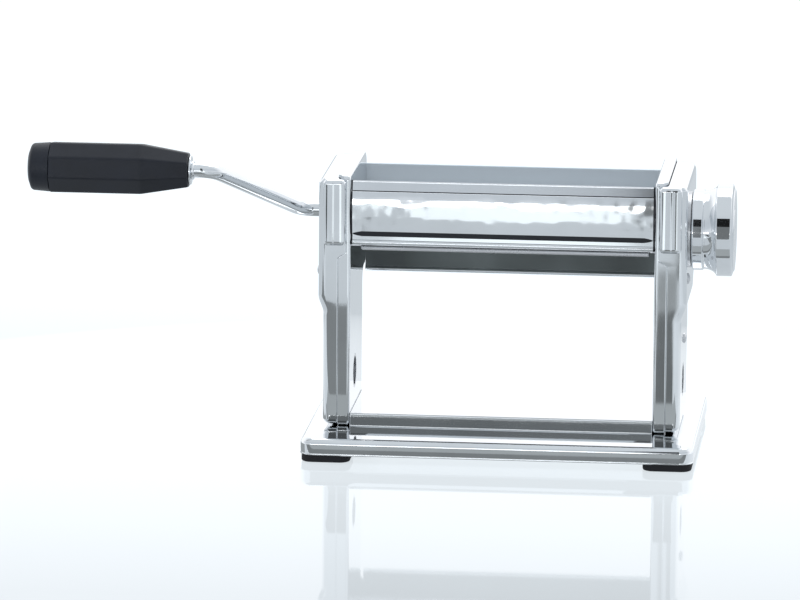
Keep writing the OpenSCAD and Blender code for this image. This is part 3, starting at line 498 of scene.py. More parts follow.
def make_finish(slot, colours):
    """The material of one finish. A metal has a colour, its roughness from and to, the stretch of its
    polishing lines or its wave, and the strength of the lines."""
    wave = (colours.wave_low, colours.wave_high, 75, (1, 0.4, 1.2), 0.42, 0.0010)
    metals = {
        "chrome_sheet": (colours.chrome, 0.03, 0.07, (1, 30, 30), None, 0.03),
        "chrome_wavy": (colours.chrome, 0.07, 0.12, None, wave, 0),
        "chrome_rod": (colours.chrome, 0.05, 0.12, (4, 30, 30), None, 0.08),
        # The rollers' steel colour is darkened as painted shade.
        "roller_steel": (colours.roller, 0.22, 0.32, (40, 0.5, 0.5), None, 0.2),
        "bright_steel": (colours.steel, 0.20, 0.34, (12, 12, 12), None, 0.15),
        "bronze": (colours.bronze, 0.25, 0.4, (10, 10, 10), None, 0.2),
    }
    if slot in metals:
        return metal(slot, *metals[slot])
    if slot == "dull_inside":
        return dull_inside(slot, colours)
    # Black plastic, and the same black as painted shade on the front cover's gaps, groove and crease.
    if slot in ("black_plastic", "painted_shade_black"):
        return moulded(slot, colours.plastic, 0.36, 0.46, 2600, 0.12)
    return moulded(slot, colours.rubber, 0.65, 0.8, 1500, 0.4)


def finish(slot):
    """The material of a slot, made once."""
    found = bpy.data.materials.get(slot + "_finish")
    if found is None:
        found = make_finish(slot, bpy.context.scene.pasta_finish)
        found.name = slot + "_finish"
    return found


class PASTA_OT_base(Operator):
    """Presses the base plate and the bridge, and moulds the rubber feet"""

    bl_idname = "pasta.base"
    bl_label = "Base"

    def execute(self, context):
        p = context.scene.pasta_base
        self.plate(p)
        self.bridge(p)
        self.feet(p)
        return {"FINISHED"}

    def plate(self, p):
        """A rounded rectangle carried up a profile: the top slopes to a round edge, and the rim ends in
        a lip."""
        sheet, corner, edge, lip, slope, fall = sizes(p, "sheet corner edge lip slope fall")
        low, high = span("base_plate")
        width, depth = high[:2] - low[:2]
        rim, top = low[2], high[2]
        lip_z = rim + 1.1
        share = np.linspace(1, 0, 9)[:-1]
        strip = np.column_stack([lip + edge + slope * share, top - fall * (1 - share) ** 2])
        outer = arc(lip + edge, top - fall - edge, edge, 90, 180, 11)
        inner = arc(sheet + edge, top - fall - edge, edge - sheet, 180, 90, 9)
        profile = [*strip, *outer, (lip, lip_z), (lip * 0.6, lip_z - 0.2), (0, lip_z - 0.4), (0, rim + 0.3)]
        profile += [(0.3, rim), (sheet - 0.2, rim), (sheet, rim + 0.3), *inner]
        plate = slab(width, depth, corner, profile)
        make_piece("base_plate_pressed", [plate], "root", ["base_plate"], "chrome_sheet")

    def bridge(self, p):
        """A folded strip with a flared foot, cut off at the box of its solid."""
        sheet, edge, fold, flare = sizes(p, "sheet bridge_edge bridge_fold bridge_flare")
        low, high = span("base_bridge")
        width, depth = high[:2] - low[:2]
        foot, top = low[2], high[2]
        corner, top_inset = 0.8, edge + 2.3
        outer = arc(flare + edge, top - edge, edge, 90, 180, 9)
        inner = arc(flare + sheet + fold, top - sheet - fold, fold, 180, 90, 7)
        toe = arc(-flare, foot + 2 * flare, 2 * flare, 0, -60, 6)
        profile = [(top_inset, top), *outer, *toe, (flare + sheet, foot + 0.1), *inner]
        points, faces = slab(width + 2 * flare, depth, corner, profile)
        bridge = (np.clip(points, low, high), faces)
        make_piece("base_bridge_pressed", [bridge], "root", ["base_bridge"], "chrome_sheet")

    def feet(self, p):
        """Four rounded square pads, each with a round boss that goes up into the base."""
        foot, corner, boss = sizes(p, "foot foot_corner foot_boss")
        rim = span("base_plate")[0][2]
        high = span("rubber_feet")[1]
        side, front = high[:2] - foot / 2
        inset = foot / 2 - boss
        pad = [(2, 0), (0.9, 0), (0.3, 0.25), (0, 0.9), (0, rim - 0.5), (0.2, rim), (inset - 0.6, rim)]
        stem = [(inset, rim + 0.6), (inset, high[2] - 0.8), (inset + 0.8, high[2])]
        feet = []
        for sx in (-1, 1):
            for sy in (-1, 1):
                feet.append(slab(foot, foot, corner, pad, (sx * side, sy * front)))
                feet.append(slab(foot, foot, foot / 2, stem, (sx * side, sy * front)))
        make_piece("rubber_feet_moulded", feet, "root", ["rubber_feet"], "black_rubber")


class StandShape:
    """Outlines and faces of a stand, from its sizes."""

    def __init__(self, p):
        self.sheet, inner, leg, self.leg = sizes(p, "sheet inner_depth leg_depth leg_rear")
        self.under, self.corner, self.hollow = sizes(p, "head_low head_corner hollow")
        self.front_corner, self.seam_r = sizes(p, "front_corner seam")
        self.inner_edge, self.outer_edge = sizes(p, "inner_edge outer_edge")
        self.step_low, self.step_high = sizes(p, "step_low step_high")
        rail_in, self.tab_low, self.tab_high = sizes(p, "rail_in tab_low tab_high")
        self.tab = inner - rail_in
        low, high = span("right_side_plate")
        cover_low, cover_high = span("right_side_cover")
        self.plate_x, self.front, self.rear = low[0], low[1], high[1]
        self.low, self.top = low[2], high[2]
        self.cover_low, self.cover_top = cover_low[2], cover_high[2]
        self.seam_x = self.plate_x + inner
        self.leg_x = self.seam_x + leg
        self.head_x = cover_high[0]

    def outline(self, inset, low, top):
        """Closed outline in Y and Z, moved inwards: six corners joined by straight lines. An outer corner's
        radius shrinks with the inset and the hollow corner's grows. Points on the front line face those on
        the rear line."""

        def corner(y, z, sy, sz, r, first):
            """A quarter circle in the corner at y and z."""
            r = max(r - inset, 0.15)
            return arc(y + sy * (inset + r), z + sz * (inset + r), r, first, first + 90)

        front = self.front + inset
        small = self.front_corner
        leg_line = np.linspace(self.step_low - 1, self.under - self.hollow - 0.6, 7)
        tab_line = np.linspace(self.tab_high + 1, self.tab_low - 1, 17)
        hollow = arc(self.leg + self.hollow, self.under - self.hollow, self.hollow + inset, 180, 90, 12)
        pairs = np.concatenate([upright(self.leg - inset, leg_line), hollow])
        return np.concatenate([
            upright(front, pairs[::-1, 1]),
            corner(self.front, low, 1, 1, small, 180),
            corner(self.leg, low, -1, 1, small, 270),
            pairs,
            corner(self.rear, self.under, -1, 1, self.corner, 270),
            corner(self.rear, top, -1, -1, self.corner, 0),
            corner(self.front, top, 1, -1, small, 90),
            upright(front, tab_line),
        ])

    def seam_shift(self, line):
        """How far the seam moves towards the inner face: on the front line above the tab's lower edge,
        fading out round the top corner."""
        front = np.clip((self.front + self.front_corner - line[:, 0]) / self.front_corner, 0, 1)
        share = smooth_step((line[:, 1] - self.tab_low) / (self.tab_high - self.tab_low))
        return self.tab * front * share

    def rows(self):
        """Pairs of point numbers that face each other on the front line and the rear line, with two
        corners between the lines."""
        count, corners = 19, 18
        k = np.arange(count)
        return np.column_stack([k, 2 * count + corners - 1 - k])

    def face_x(self, z):
        """X of the outer shell's face at a height: the leg's, then a smooth step out to the head's."""
        share = smooth_step((z - self.step_low) / (self.step_high - self.step_low))
        return self.leg_x + (self.head_x - self.leg_x) * share

    def along(self, z, x, bent):
        """X of points at their heights: x itself, or with bent, x counted back from the outer face."""
        return self.face_x(z) - x if bent else np.full(len(z), x)

    def circle(self, y, z, r):
        """The edge of a hole."""
        return arc(y, z, r, 0, 352.5, 48)

    def wall(self, stations, low, top, bent):
        """Rings of the outline along X. A station is an X and an inset; with bent, X counts back from the
        outer face."""
        rings = []
        for x, inset in stations:
            line = self.outline(inset, low, top)
            along = self.along(line[:, 1], x, bent)
            if not bent and abs(x - self.seam_x) < 2 * self.seam_r:
                along = along - self.seam_shift(line)
            rings.append(np.column_stack([along, line]))
        return np.array(rings)

    def face(self, inset, low, top, holes, back, bent):
        """A flat or stepped face that fills the outline round its holes. Its triangles come from the
        outline, the holes' circles and the level rows between the front and rear lines."""
        loops = [self.outline(inset, low, top)] + [self.circle(*hole) for hole in holes]
        edges, start = [], 0
        for loop in loops:
            k = np.arange(len(loop))
            edges.append(start + np.column_stack([k, (k + 1) % len(loop)]))
            start += len(loop)
        edges = np.concatenate(edges + [self.rows()])
        flat = np.concatenate(loops)
        filled = delaunay_2d_cdt([Vector(q) for q in flat.tolist()], edges.tolist(), [], 1, 1e-5)
        points = np.array([q[:] for q in filled[0]])
        faces = np.array(filled[2])
        middle = points[faces].mean(1)
        for y, z, r in holes:
            keep = np.hypot(middle[:, 0] - y, middle[:, 1] - z) > r
            faces, middle = faces[keep], middle[keep]
        return np.column_stack([self.along(points[:, 1], back, bent), points]), faces.tolist()

    def hole_walls(self, holes, near, far, bent):
        """Short tubes that join the two faces of the sheet at each hole."""
        parts = []
        for hole in holes:
            ring = self.circle(*hole)
            stack = [np.column_stack([self.along(ring[:, 1], back, bent), ring]) for back in (near, far)]
            parts.append(open_loft(np.array(stack)))
        return parts


def open_loft(rings):
    """A skin over a stack of closed rings with both ends left open."""
    points, faces = loft(rings)
    return points, faces[:-2]


def to_side(parts, side):
    """The parts on the right for side 1, or their mirror image on the left for side -1."""
    return [(points * (side, 1, 1), faces) for points, faces in parts]


def inner_shell(s, holes):
    """Plate with a pressed edge: rings run from the seam along the wall, round a quarter circle and onto
    the plate."""
    turn = arc(s.plate_x + s.inner_edge, s.inner_edge, s.inner_edge, 270, 180, 9)
    lip = arc(s.seam_x - s.seam_r, s.seam_r, s.seam_r, 0, -90, 5)
    outside = [(s.seam_x, s.sheet), *lip, *turn]
    back = s.plate_x + s.sheet
    inside = [(s.seam_x, s.sheet), (back + 1.2, s.sheet), (back + 0.4, s.sheet + 0.4), (back, s.sheet + 1.2)]
    return [
        open_loft(s.wall(outside, s.low, s.top, False)),
        s.face(s.inner_edge, s.low, s.top, holes, s.plate_x, False),
        open_loft(s.wall(inside, s.low, s.top, False)),
        s.face(s.sheet + 1.2, s.low, s.top, holes, back, False),
        *s.hole_walls(holes, s.plate_x, back, False),
    ]


def outer_shell(s, holes):
    """Stepped cover: rings run from the seam along the wall, round a quarter circle and onto the outer
    face."""
    depth = s.outer_edge
    turn = arc(depth, depth, depth, 270, 180, 11)
    lip = arc(s.seam_x + s.seam_r, s.seam_r, s.seam_r, 180, 270, 5)
    seam = [(s.seam_x, s.sheet), *lip]
    low, top = s.cover_low, s.cover_top
    wall_out = np.concatenate([s.wall(seam, low, top, False), s.wall(turn, low, top, True)])
    hidden = [(s.sheet + 2, s.sheet), (s.sheet + 0.6, s.sheet + 0.6), (s.sheet, s.sheet + 2)]
    wall_in = np.concatenate([s.wall(seam[:1], low, top, False), s.wall(hidden, low, top, True)])
    return [
        open_loft(wall_out),
        s.face(depth, low, top, holes, 0, True),
        open_loft(wall_in),
        s.face(s.sheet + 2, low, top, holes, s.sheet, True),
        *s.hole_walls(holes, 0, s.sheet, True),
    ]


def rail(s, p, front):
    """Upright rail: a flat-backed section with round front corners, carried along Z. A gentle slope near
    the middle sets the inner side of its front back, and near its ends it shrinks round a quarter circle."""
    width, long, edge, start = sizes(p, "rail_width rail_length rail_edge rail_in")
    step, slope = sizes(p, "rail_step rail_slope")
    middle_x = s.plate_x + start + width / 2
    ridge = 0.07 * width
    back = s.front + s.sheet / 2
    close = np.array([-0.1, 0, 0.1])
    middle = np.concatenate([[-2.4, -1.2], ridge - slope + close, ridge + close, [1.7, 2.5]])
    turn = np.radians(np.linspace(0, 90, 8))
    shrink = edge * (1 - np.sin(turn))
    rise = edge * (1 - np.cos(turn))
    inset = np.concatenate([shrink, shrink[::-1]])
    height = np.concatenate([s.cover_top - long + rise, s.cover_top - rise[::-1]])
    rings = []
    for less, z in zip(inset, height):
        half = width / 2 - less
        r = max(edge - less, 0.05)
        left = arc(r - half, front + less + r, r, 180, 270, 7)
        right = arc(half - r, front + less + r, r, 270, 360, 7)
        flat = np.column_stack([middle, np.full(len(middle), front + less)])
        face = np.concatenate([left, flat, right])
        face[:, 1] += step * np.clip((ridge - face[:, 0]) / slope, 0, 1)
        ring = np.concatenate([[(-half, back)], face, [(half, back)]])
        rings.append(np.column_stack([middle_x + ring[:, 0], ring[:, 1], np.full(len(ring), z)]))
    return loft(np.array(rings))


class PASTA_OT_stands(Operator):
    """Presses the two shells of each stand, with the attachment rails"""

    bl_idname = "pasta.stands"
    bl_label = "Stands"

    def execute(self, context):
        p = context.scene.pasta_stands
        s = StandShape(p)
        socket, crank_hole, dial_hole = sizes(p, "socket crank_hole dial_hole")
        bush_hole, left_hole, right_hole = sizes(p, "bush_hole left_axle_hole right_axle_hole")
        bar = rail(s, p, span("right_side_cover")[0][1])
        shaft, dial = axis("drive_bushes"), axis("index_plate")
        peg = (*axis("clamp_sockets"), socket)
        for side, label, axle_hole, opening in (
            (-1, "left", left_hole, (*shaft, crank_hole)),
            (1, "right", right_hole, (*dial, dial_hole)),
        ):
            parts = to_side(inner_shell(s, [peg, (*shaft, bush_hole), (*dial, axle_hole)]), side)
            make_piece(label + "_inner_shell", parts, "root", [label + "_side_plate"], "chrome_sheet")
            parts = to_side(outer_shell(s, [peg, opening]) + [bar], side)
            make_piece(label + "_outer_shell", parts, "root", [label + "_side_cover"], "chrome_sheet")
        return {"FINISHED"}


def sheet_along_x(line, stations):
    """A closed outline in Y and Z carried along X; the outline may differ from station to station."""
    x = np.broadcast_to(np.asarray(stations, float)[:, None, None], (*line.shape[:2], 1))
    return loft(np.concatenate([x, line], -1))


def bulge(y, from_z, to_z, out):
    """A parabola between two heights, out proud of y in the middle."""
    t = np.linspace(0, 1, 25)
    return np.column_stack([y + out * 4 * t * (1 - t), from_z + (to_z - from_z) * t])


def rolled(line, bead_y, bead_z, bead, sheet):
    """A sheet with a hem on top and a rolled bead below. The outer line runs down to the bead, round it,
    and back up a sheet's thickness behind."""
    start = line[-1, 0] - bead_y
    first = math.degrees(math.atan2(math.sqrt(max(bead * bead - start * start, 0)), start))
    finish_y = min(start + sheet, bead * 0.98)
    last = math.degrees(math.atan2(math.sqrt(bead * bead - finish_y * finish_y), finish_y)) + 360
    curl = arc(bead_y, bead_z, bead, first, last, 25)
    hem = arc(line[0, 0] + sheet / 2, line[0, 1] - sheet / 2, sheet / 2, 0, 180, 9)
    outer, inner = line[1:-1], line[1:-1][::-1] + (sheet, 0)
    return np.concatenate([hem, outer, curl, inner])


class PASTA_OT_covers(Operator):
    """Bends the front cover with its crease, groove and bead, and the rear cover"""

    bl_idname = "pasta.covers"
    bl_label = "Covers"

    def execute(self, context):
        p = context.scene.pasta_covers
        self.front_cover(p)
        self.rear_cover(p)
        return {"FINISHED"}

    def front_cover(self, p):
        """A bent sheet carried along X. Its groove narrows with a power of the distance from its ends, and
        its outermost strips are set back as gaps. The gaps, the groove and the crease are coloured black as
        painted shade."""
        sheet, gap, front, out = sizes(p, "sheet end_gap front front_bulge")
        band, lean = sizes(p, "crease_band crease_lean")
        groove, depth, fade, bead = sizes(p, "groove groove_depth groove_fade bead")
        rise, back = sizes(p, "groove_rise groove_back")
        low, high = span("front_cover")
        ends = high[0] - gap
        top, crease = high[2], high[2] - band
        bead_z = low[2] + bead
        groove_z = low[2] + 2 * bead + rise + groove / 2
        floor_y, foot_y = -front + back, -front + depth
        sunk_y, crease_y = 0.8, -front + 0.3
        near = np.linspace(0, fade * 1.2, 12)
        inner = np.concatenate([-ends + near, np.linspace(-ends + 10, ends - 10, 33), (ends - near)[::-1]])
        stations = np.concatenate([[-high[0] + 0.1, -ends], inner, [ends, high[0] - 0.1]])
        lines = []
        for x, sunk in zip(stations, [1, 1, *np.zeros(len(inner)), 1, 1]):
            half = 0.08 + (groove / 2 - 0.15) * float(np.clip((ends - abs(x)) / fade, 0, 1)) ** 0.6
            line = np.concatenate([
                [(-front + lean, top), (-front + lean + 0.02, top - 0.8), (-front, crease + 0.3)],
                [(crease_y, crease + 0.22), (crease_y, crease - 0.22), (-front, crease - 0.3)],
                bulge(-front, crease - 0.4, groove_z + half + 0.05, -out),
                [(floor_y, groove_z + half - 0.02), (floor_y, groove_z - half + 0.02)],
                [(foot_y, groove_z - half), (foot_y, bead_z + 1.5), (foot_y, bead_z)],
            ])
            lines.append(rolled(line, foot_y + sheet / 2, bead_z, bead, sheet) + (sunk_y * sunk, 0))
        part = sheet_along_x(np.array(lines), stations)

        def dark(middle, normal):
            """The faces in the end gaps, the groove and the crease, which are coloured black as painted
            shade.
            """
            in_groove = (abs(middle[:, 2] - groove_z) < groove / 2) & (abs(middle[:, 1] + front - 1) < 0.95)
            in_crease = (abs(middle[:, 2] - crease) < 0.28) & (normal[:, 1] < 0.9)
            return (abs(middle[:, 0]) > ends - 0.01) | in_groove | in_crease

        # Painted shade: the end gaps, the groove and the crease of the chrome cover are made black.
        look, patch = "chrome_wavy", ("painted_shade_black", dark)
        make_piece("front_cover_bent", [part], "root", ["front_cover"], "chrome_sheet", 20, look, patch)

    def rear_cover(self, p):
        """A bulging sheet carried along X, dull on its inner side, whose colour is painted light above the
        rollers and painted shade under them.
        """
        sheet, bead, rear, out = sizes(p, "sheet bead rear rear_bulge")
        low, high = span("rear_cover")
        bead_z = low[2] + bead
        middle = bulge(rear, high[2] - 0.6, bead_z + 1.6, out)
        line = np.concatenate([[(rear, high[2])], middle, [(rear, bead_z)]])
        line = rolled(line, rear + sheet / 2, bead_z, bead, sheet)
        stations = np.linspace(low[0] + 0.02, high[0] - 0.02, 25)
        part = sheet_along_x(np.broadcast_to(line, (len(stations), *line.shape)), stations)
        # The inner faces above the bead get the painted light and painted shade of the dull inside finish.
        patch = ("dull_inside", lambda middle, normal: (normal[:, 1] < -0.5) & (middle[:, 2] > bead_z))
        make_piece("rear_cover_bent", [part], "root", ["rear_cover"], "chrome_sheet", 20, None, patch)


class PASTA_OT_dial(Operator):
    """Turns the dial knob and its end disc, and winds the spring"""

    bl_idname = "pasta.dial"
    bl_label = "Dial"

    def execute(self, context):
        p = context.scene.pasta_dial
        y, z = axis("dial_knob")
        self.knob(p, y, z)
        self.coil_spring(p, y, z)
        return {"FINISHED"}

    def knob(self, p, y, z):
        """Profiles turned round the dial's axis. Between the flanges the radius falls with the square of the
        way from the inner one, and grows with the cube of the way to the outer one."""
        inner, waist, outer, edge, cap = sizes(p, "inner_flange waist outer_flange edge cap")
        bore, pocket, web = sizes(p, "bore pocket web")
        low, high = span("dial_knob")
        x0, x1 = low[0], high[0]
        recess, gap = x1 - 1.6, 0.05
        face_r, face_edge = outer - 3.4, 0.9
        foot, shoulder, rim = x0 + np.array([0.27, 0.57, 0.95]) * (x1 - x0)
        t = np.linspace(0, 1, 15)[1:-1]
        throat = waist + (inner - edge - waist) * (1 - t) ** 2 + (outer - edge - waist) * t**3
        profile = np.concatenate([
            [(x0, bore)],
            arc(x0 + edge, inner - edge, edge, 180, 90, 6),
            [(x0 + edge + 0.1, inner), (foot - edge - 0.1, inner)],
            arc(foot - edge, inner - edge, edge, 90, 20, 6),
            np.column_stack([foot + (shoulder - foot) * t, throat]),
            arc(shoulder + edge, outer - edge, edge, 160, 90, 6),
            [(shoulder + edge + 0.1, outer), (rim - edge - 0.1, outer)],
            arc(rim - edge, outer - edge, edge, 90, 25, 6),
            arc(x1 - face_edge, face_r, face_edge, 70, 0, 6),
            [(x1 - 0.3, cap + 0.5), (x1 - 0.6, cap + gap), (recess, cap + gap)],
            [(recess, pocket), (x0 + web, pocket), (x0 + web, bore)],
        ])
        knob = lathe(profile, y, z, 128, True)
        make_piece("dial_knob_turned", [knob], "dial", ["dial_knob"], "chrome_sheet")
        disc = np.concatenate([
            [(recess, cap - 0.3), (recess + 0.4, cap)],
            arc(x1 - 0.7, cap - 0.5, 0.5, 90, 0, 5),
            [(x1 - 0.3, cap - 3), (x1 - 0.45, cap - 3.4), (x1 - 0.3, cap - 3.8)],
            [(x1 - 0.2, 3), (x1 - 0.2, 0.5)],
        ])
        make_piece("dial_cap_turned", [lathe(disc, y, z)], "dial", ["dial_cap"], "chrome_sheet")

    def coil_spring(self, p, y, z):
        """A circle, the wire, carried along X while it runs round the axis four times."""
        coil, wire, pull = sizes(p, "spring wire pull")
        turns = 4
        low, high = span("dial_spring")
        t = np.linspace(0, 1, 145)[:, None]
        a = np.linspace(0, 2 * np.pi, 14, endpoint=False)[None, :]
        x = low[0] + wire + (high[0] - low[0] - 2 * wire) * t + wire * np.sin(a)
        r = coil + wire * np.cos(a)
        turn = 2 * np.pi * turns * t
        rings = np.stack([x, y + r * np.cos(turn), z + r * np.sin(turn)], -1)
        piece = make_piece("dial_spring_coiled", [loft(rings)], "axle", ["dial_spring"], "bright_steel")
        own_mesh(piece)


class CrankShape:
    """Path of the crank, measured away from the stand along the shaft and out along the throw."""

    def __init__(self, p):
        self.rod, self.key, self.key_length = sizes(p, "rod key key_length")
        self.corner, self.lean, self.throw, self.bend = sizes(p, "first_bend lean throw bend")
        self.y, self.z = axis("drive_bushes")
        self.lift = p.lift
        self.turn = math.atan2(self.throw, self.lean)

    def placed(self, u, w, n):
        """Points of the crank's own frame in the machine's frame: u away from the stand, w along the throw,
        n across."""
        c, s = math.cos(self.lift), math.sin(self.lift)
        return np.stack([-u, self.y - w * c + n * s, self.z + w * s + n * c], -1)


class PASTA_OT_crank(Operator):
    """Bends the crank rod and moulds its grip"""

    bl_idname = "pasta.crank"
    bl_label = "Crank"

    def execute(self, context):
        p = context.scene.pasta_crank
        k = CrankShape(p)
        self.bend_rod(p, k)
        self.mould_grip(p, k)
        return {"FINISHED"}

    def bend_rod(self, p, k):
        """A circle carried along two straight runs, two bends and an arm; its first run is square, and near
        its end it carries a collar. A ring's radius is the smaller of a circle and a square."""
        collar, collar_width, key_corner = sizes(p, "collar collar_width key_corner")
        low, high = span("crank_rod")
        start, end = -high[0], -low[0]
        collar_end = -span("grip_washer")[1][0]
        collar_start = collar_end - collar_width
        soft = 0.4
        tangent = k.bend * math.tan(k.turn / 2)
        arm = math.hypot(k.throw, k.lean) - 2 * tangent
        a = np.linspace(0, k.turn, 25)
        first = k.corner - tangent
        bend_u, bend_w = first + k.bend * np.sin(a), k.bend * (1 - np.cos(a))
        step = np.linspace(0, arm, 12)[1:-1]
        arm_u, arm_w = bend_u[-1] + step * math.cos(k.turn), bend_w[-1] + step * math.sin(k.turn)
        last = k.corner + k.lean + tangent
        back_u = (last - k.bend * np.sin(a))[::-1]
        back_w = (k.throw - k.bend * (1 - np.cos(a)))[::-1]
        key_end = start + k.key_length
        run_in = np.array([start, start + 0.8, key_end, key_end, key_end + 0.6, first - 0.5])
        near_side = [collar_start, collar_start, collar_start + soft]
        far_side = [collar_end - soft, collar_end, collar_end]
        run_out = np.array([*near_side, *far_side, end - 5.5, end - 0.8, end])
        u = np.concatenate([run_in, bend_u, arm_u, back_u, run_out])
        w = np.concatenate([0 * run_in, bend_w, arm_w, back_w, 0 * run_out + k.throw])
        heading = np.concatenate([0 * run_in, a, 0 * step + k.turn, a[::-1], 0 * run_out])
        radius = np.full(len(u), k.rod)
        radius[:4] = [key_corner - 0.5, key_corner, key_corner, k.rod - soft]
        radius[-8:-4] = [collar - soft, collar, collar, collar - soft]
        radius[-1] = k.rod - 0.8
        half = np.full(len(u), np.inf)
        half[:3] = [k.key / 2 - 0.4, k.key / 2, k.key / 2]
        v = np.linspace(0, 2 * np.pi, 64, endpoint=False)[None, :]
        square = half[:, None] / np.maximum(abs(np.cos(v)), abs(np.sin(v)))
        r = np.minimum(radius[:, None], square)
        side, across = r * np.cos(v), r * np.sin(v)
        ring_u = u[:, None] - side * np.sin(heading)[:, None]
        ring_w = w[:, None] + side * np.cos(heading)[:, None]
        skin = loft(k.placed(ring_u, ring_w, across))
        make_piece("crank_rod_bent", [skin], "crank", ["crank_rod"], "chrome_rod")

    def mould_grip(self, p, k):
        """The grip's rings are octagons: a flat's distance over the cosine of the angle from it, held under
        a circle that rounds the corners. The washer and the end cap are turned on the grip's axis."""
        neck, body, taper, corner_cut = sizes(p, "grip_neck grip_body grip_taper corner_cut")
        y, z = axis("grip_end_cap")
        low, high = span("grip")
        start, end = -high[0], -low[0]
        bend = start + taper
        u = [start, start + 0.25, start + 0.9, bend - 1, bend - 0.35, bend + 0.35, bend + 1]
        u = np.array([*u, end - 0.9, end - 0.25, end])
        trim = np.array([0.9, 0.3, 0, 0, 0, 0, 0, 0, 0.3, 0.9])
        share = np.clip((u - start) / taper, 0, 1)
        share[4:6] -= 0.004
        r = (neck + (body - neck) * share - trim)[:, None]
        v = np.linspace(0, 2 * np.pi, 160, endpoint=False)[None, :]
        from_flat = (v - p.grip_flat + np.pi / 8) % (np.pi / 4) - np.pi / 8
        octagon = r * math.cos(np.pi / 8) / np.cos(from_flat)
        bore = np.full((2, v.size), k.rod + 0.05)
        r = np.concatenate([np.minimum(octagon, r - corner_cut), bore])
        x = -np.array([*u, end, start])[:, None]
        rings = np.stack([x + 0 * r, y - r * np.cos(v), z + r * np.sin(v)], -1)
        make_piece("grip_moulded", [loft(rings, True)], "grip", ["grip"], "black_plastic", 40)

        spigot, cap_end, edge = sizes(p, "spigot cap_end cap_edge")
        low, high = span("grip_end_cap")
        joint = (high[1] - low[1]) / 2
        x0, x1 = high[0] - 1.6, low[0]
        flank_x, crown = x1 + 1.6 + edge, 0.9
        stem = [(high[0], spigot), (x0, spigot)]
        stem += [(x0, joint - 0.6), (x0 - 0.25, joint - 0.12), (x0 - 0.7, joint)]
        flank = arc(flank_x, cap_end - edge, edge, 90, 160, 9)
        crown_x = x1 + crown * np.linspace(1, 0, 7)[1:] ** 2
        crown_r = (cap_end - edge) * np.linspace(0.93, 0.05, 7)[1:]
        profile = np.concatenate([stem, flank, np.column_stack([crown_x, crown_r])])
        cap = lathe(profile, y, z, 128)
        make_piece("grip_cap_moulded", [cap], "grip", ["grip_end_cap"], "black_plastic", 40)

        low, high = span("grip_washer")
        out, bore, soft = (high[1] - low[1]) / 2, k.rod + 0.02, 0.3
        profile = [(high[0], bore), *arc(high[0] - soft, out - soft, soft, 0, 90, 4)]
        profile += [*arc(low[0] + soft, out - soft, soft, 90, 180, 4), (low[0], bore)]
        washer = lathe(profile, y, z, 96, True)
        make_piece("grip_washer_turned", [washer], "crank", ["grip_washer"], "chrome_rod")


class PASTA_OT_rollers(Operator):
    """Turns the two rollers with soft ends"""

    bl_idname = "pasta.rollers"
    bl_label = "Rollers"

    def execute(self, context):
        p = context.scene.pasta_rollers
        rear_bore, front_bore = sizes(p, "rear_bore front_bore")
        self.roller(p, "rear_roller", "drive", rear_bore)
        self.roller(p, "front_roller", "front_roller", front_bore)
        return {"FINISHED"}

    def roller(self, p, node, body, bore):
        """A tube with rounded edges, as long as the rear roller; the front one also has a narrower neck at
        its left end."""
        edge, neck = sizes(p, "edge neck")
        half = span("rear_roller")[1][0]
        low, high = span(node)
        r = (high[1] - low[1]) / 2
        right = [(half, bore + 0.4), *arc(half - edge, r - edge, edge, 0, 90, 6)]
        left = [*arc(-half + edge, r - edge, edge, 90, 180, 6)]
        if low[0] < -half - 0.1:
            left += [(-half, neck + 0.2), (-half - 0.2, neck), (low[0] + 0.3, neck), (low[0], neck - 0.3)]
        profile = right + left + [(low[0], bore + 0.3), (low[0] + 0.3, bore), (half - 0.4, bore)]
        tube = lathe(profile, *axis(node), 128, True)
        make_piece(node + "_turned", [tube], body, [node], "roller_steel")


class PASTA_OT_works(Operator):
    """Finishes the solids that stay in view: screws, bushes, gears, shafts, rods and scrapers"""

    bl_idname = "pasta.works"
    bl_label = "Inner works"

    def execute(self, context):
        slots = {entry["node"]: entry["material_slot"] for entry in frame["record"]["subparts"]}
        for name, node in frame["nodes"].items():
            if node.hide_render:
                continue
            node.data.materials.clear()
            node.data.materials.append(finish(slots[name]))
        return {"FINISHED"}


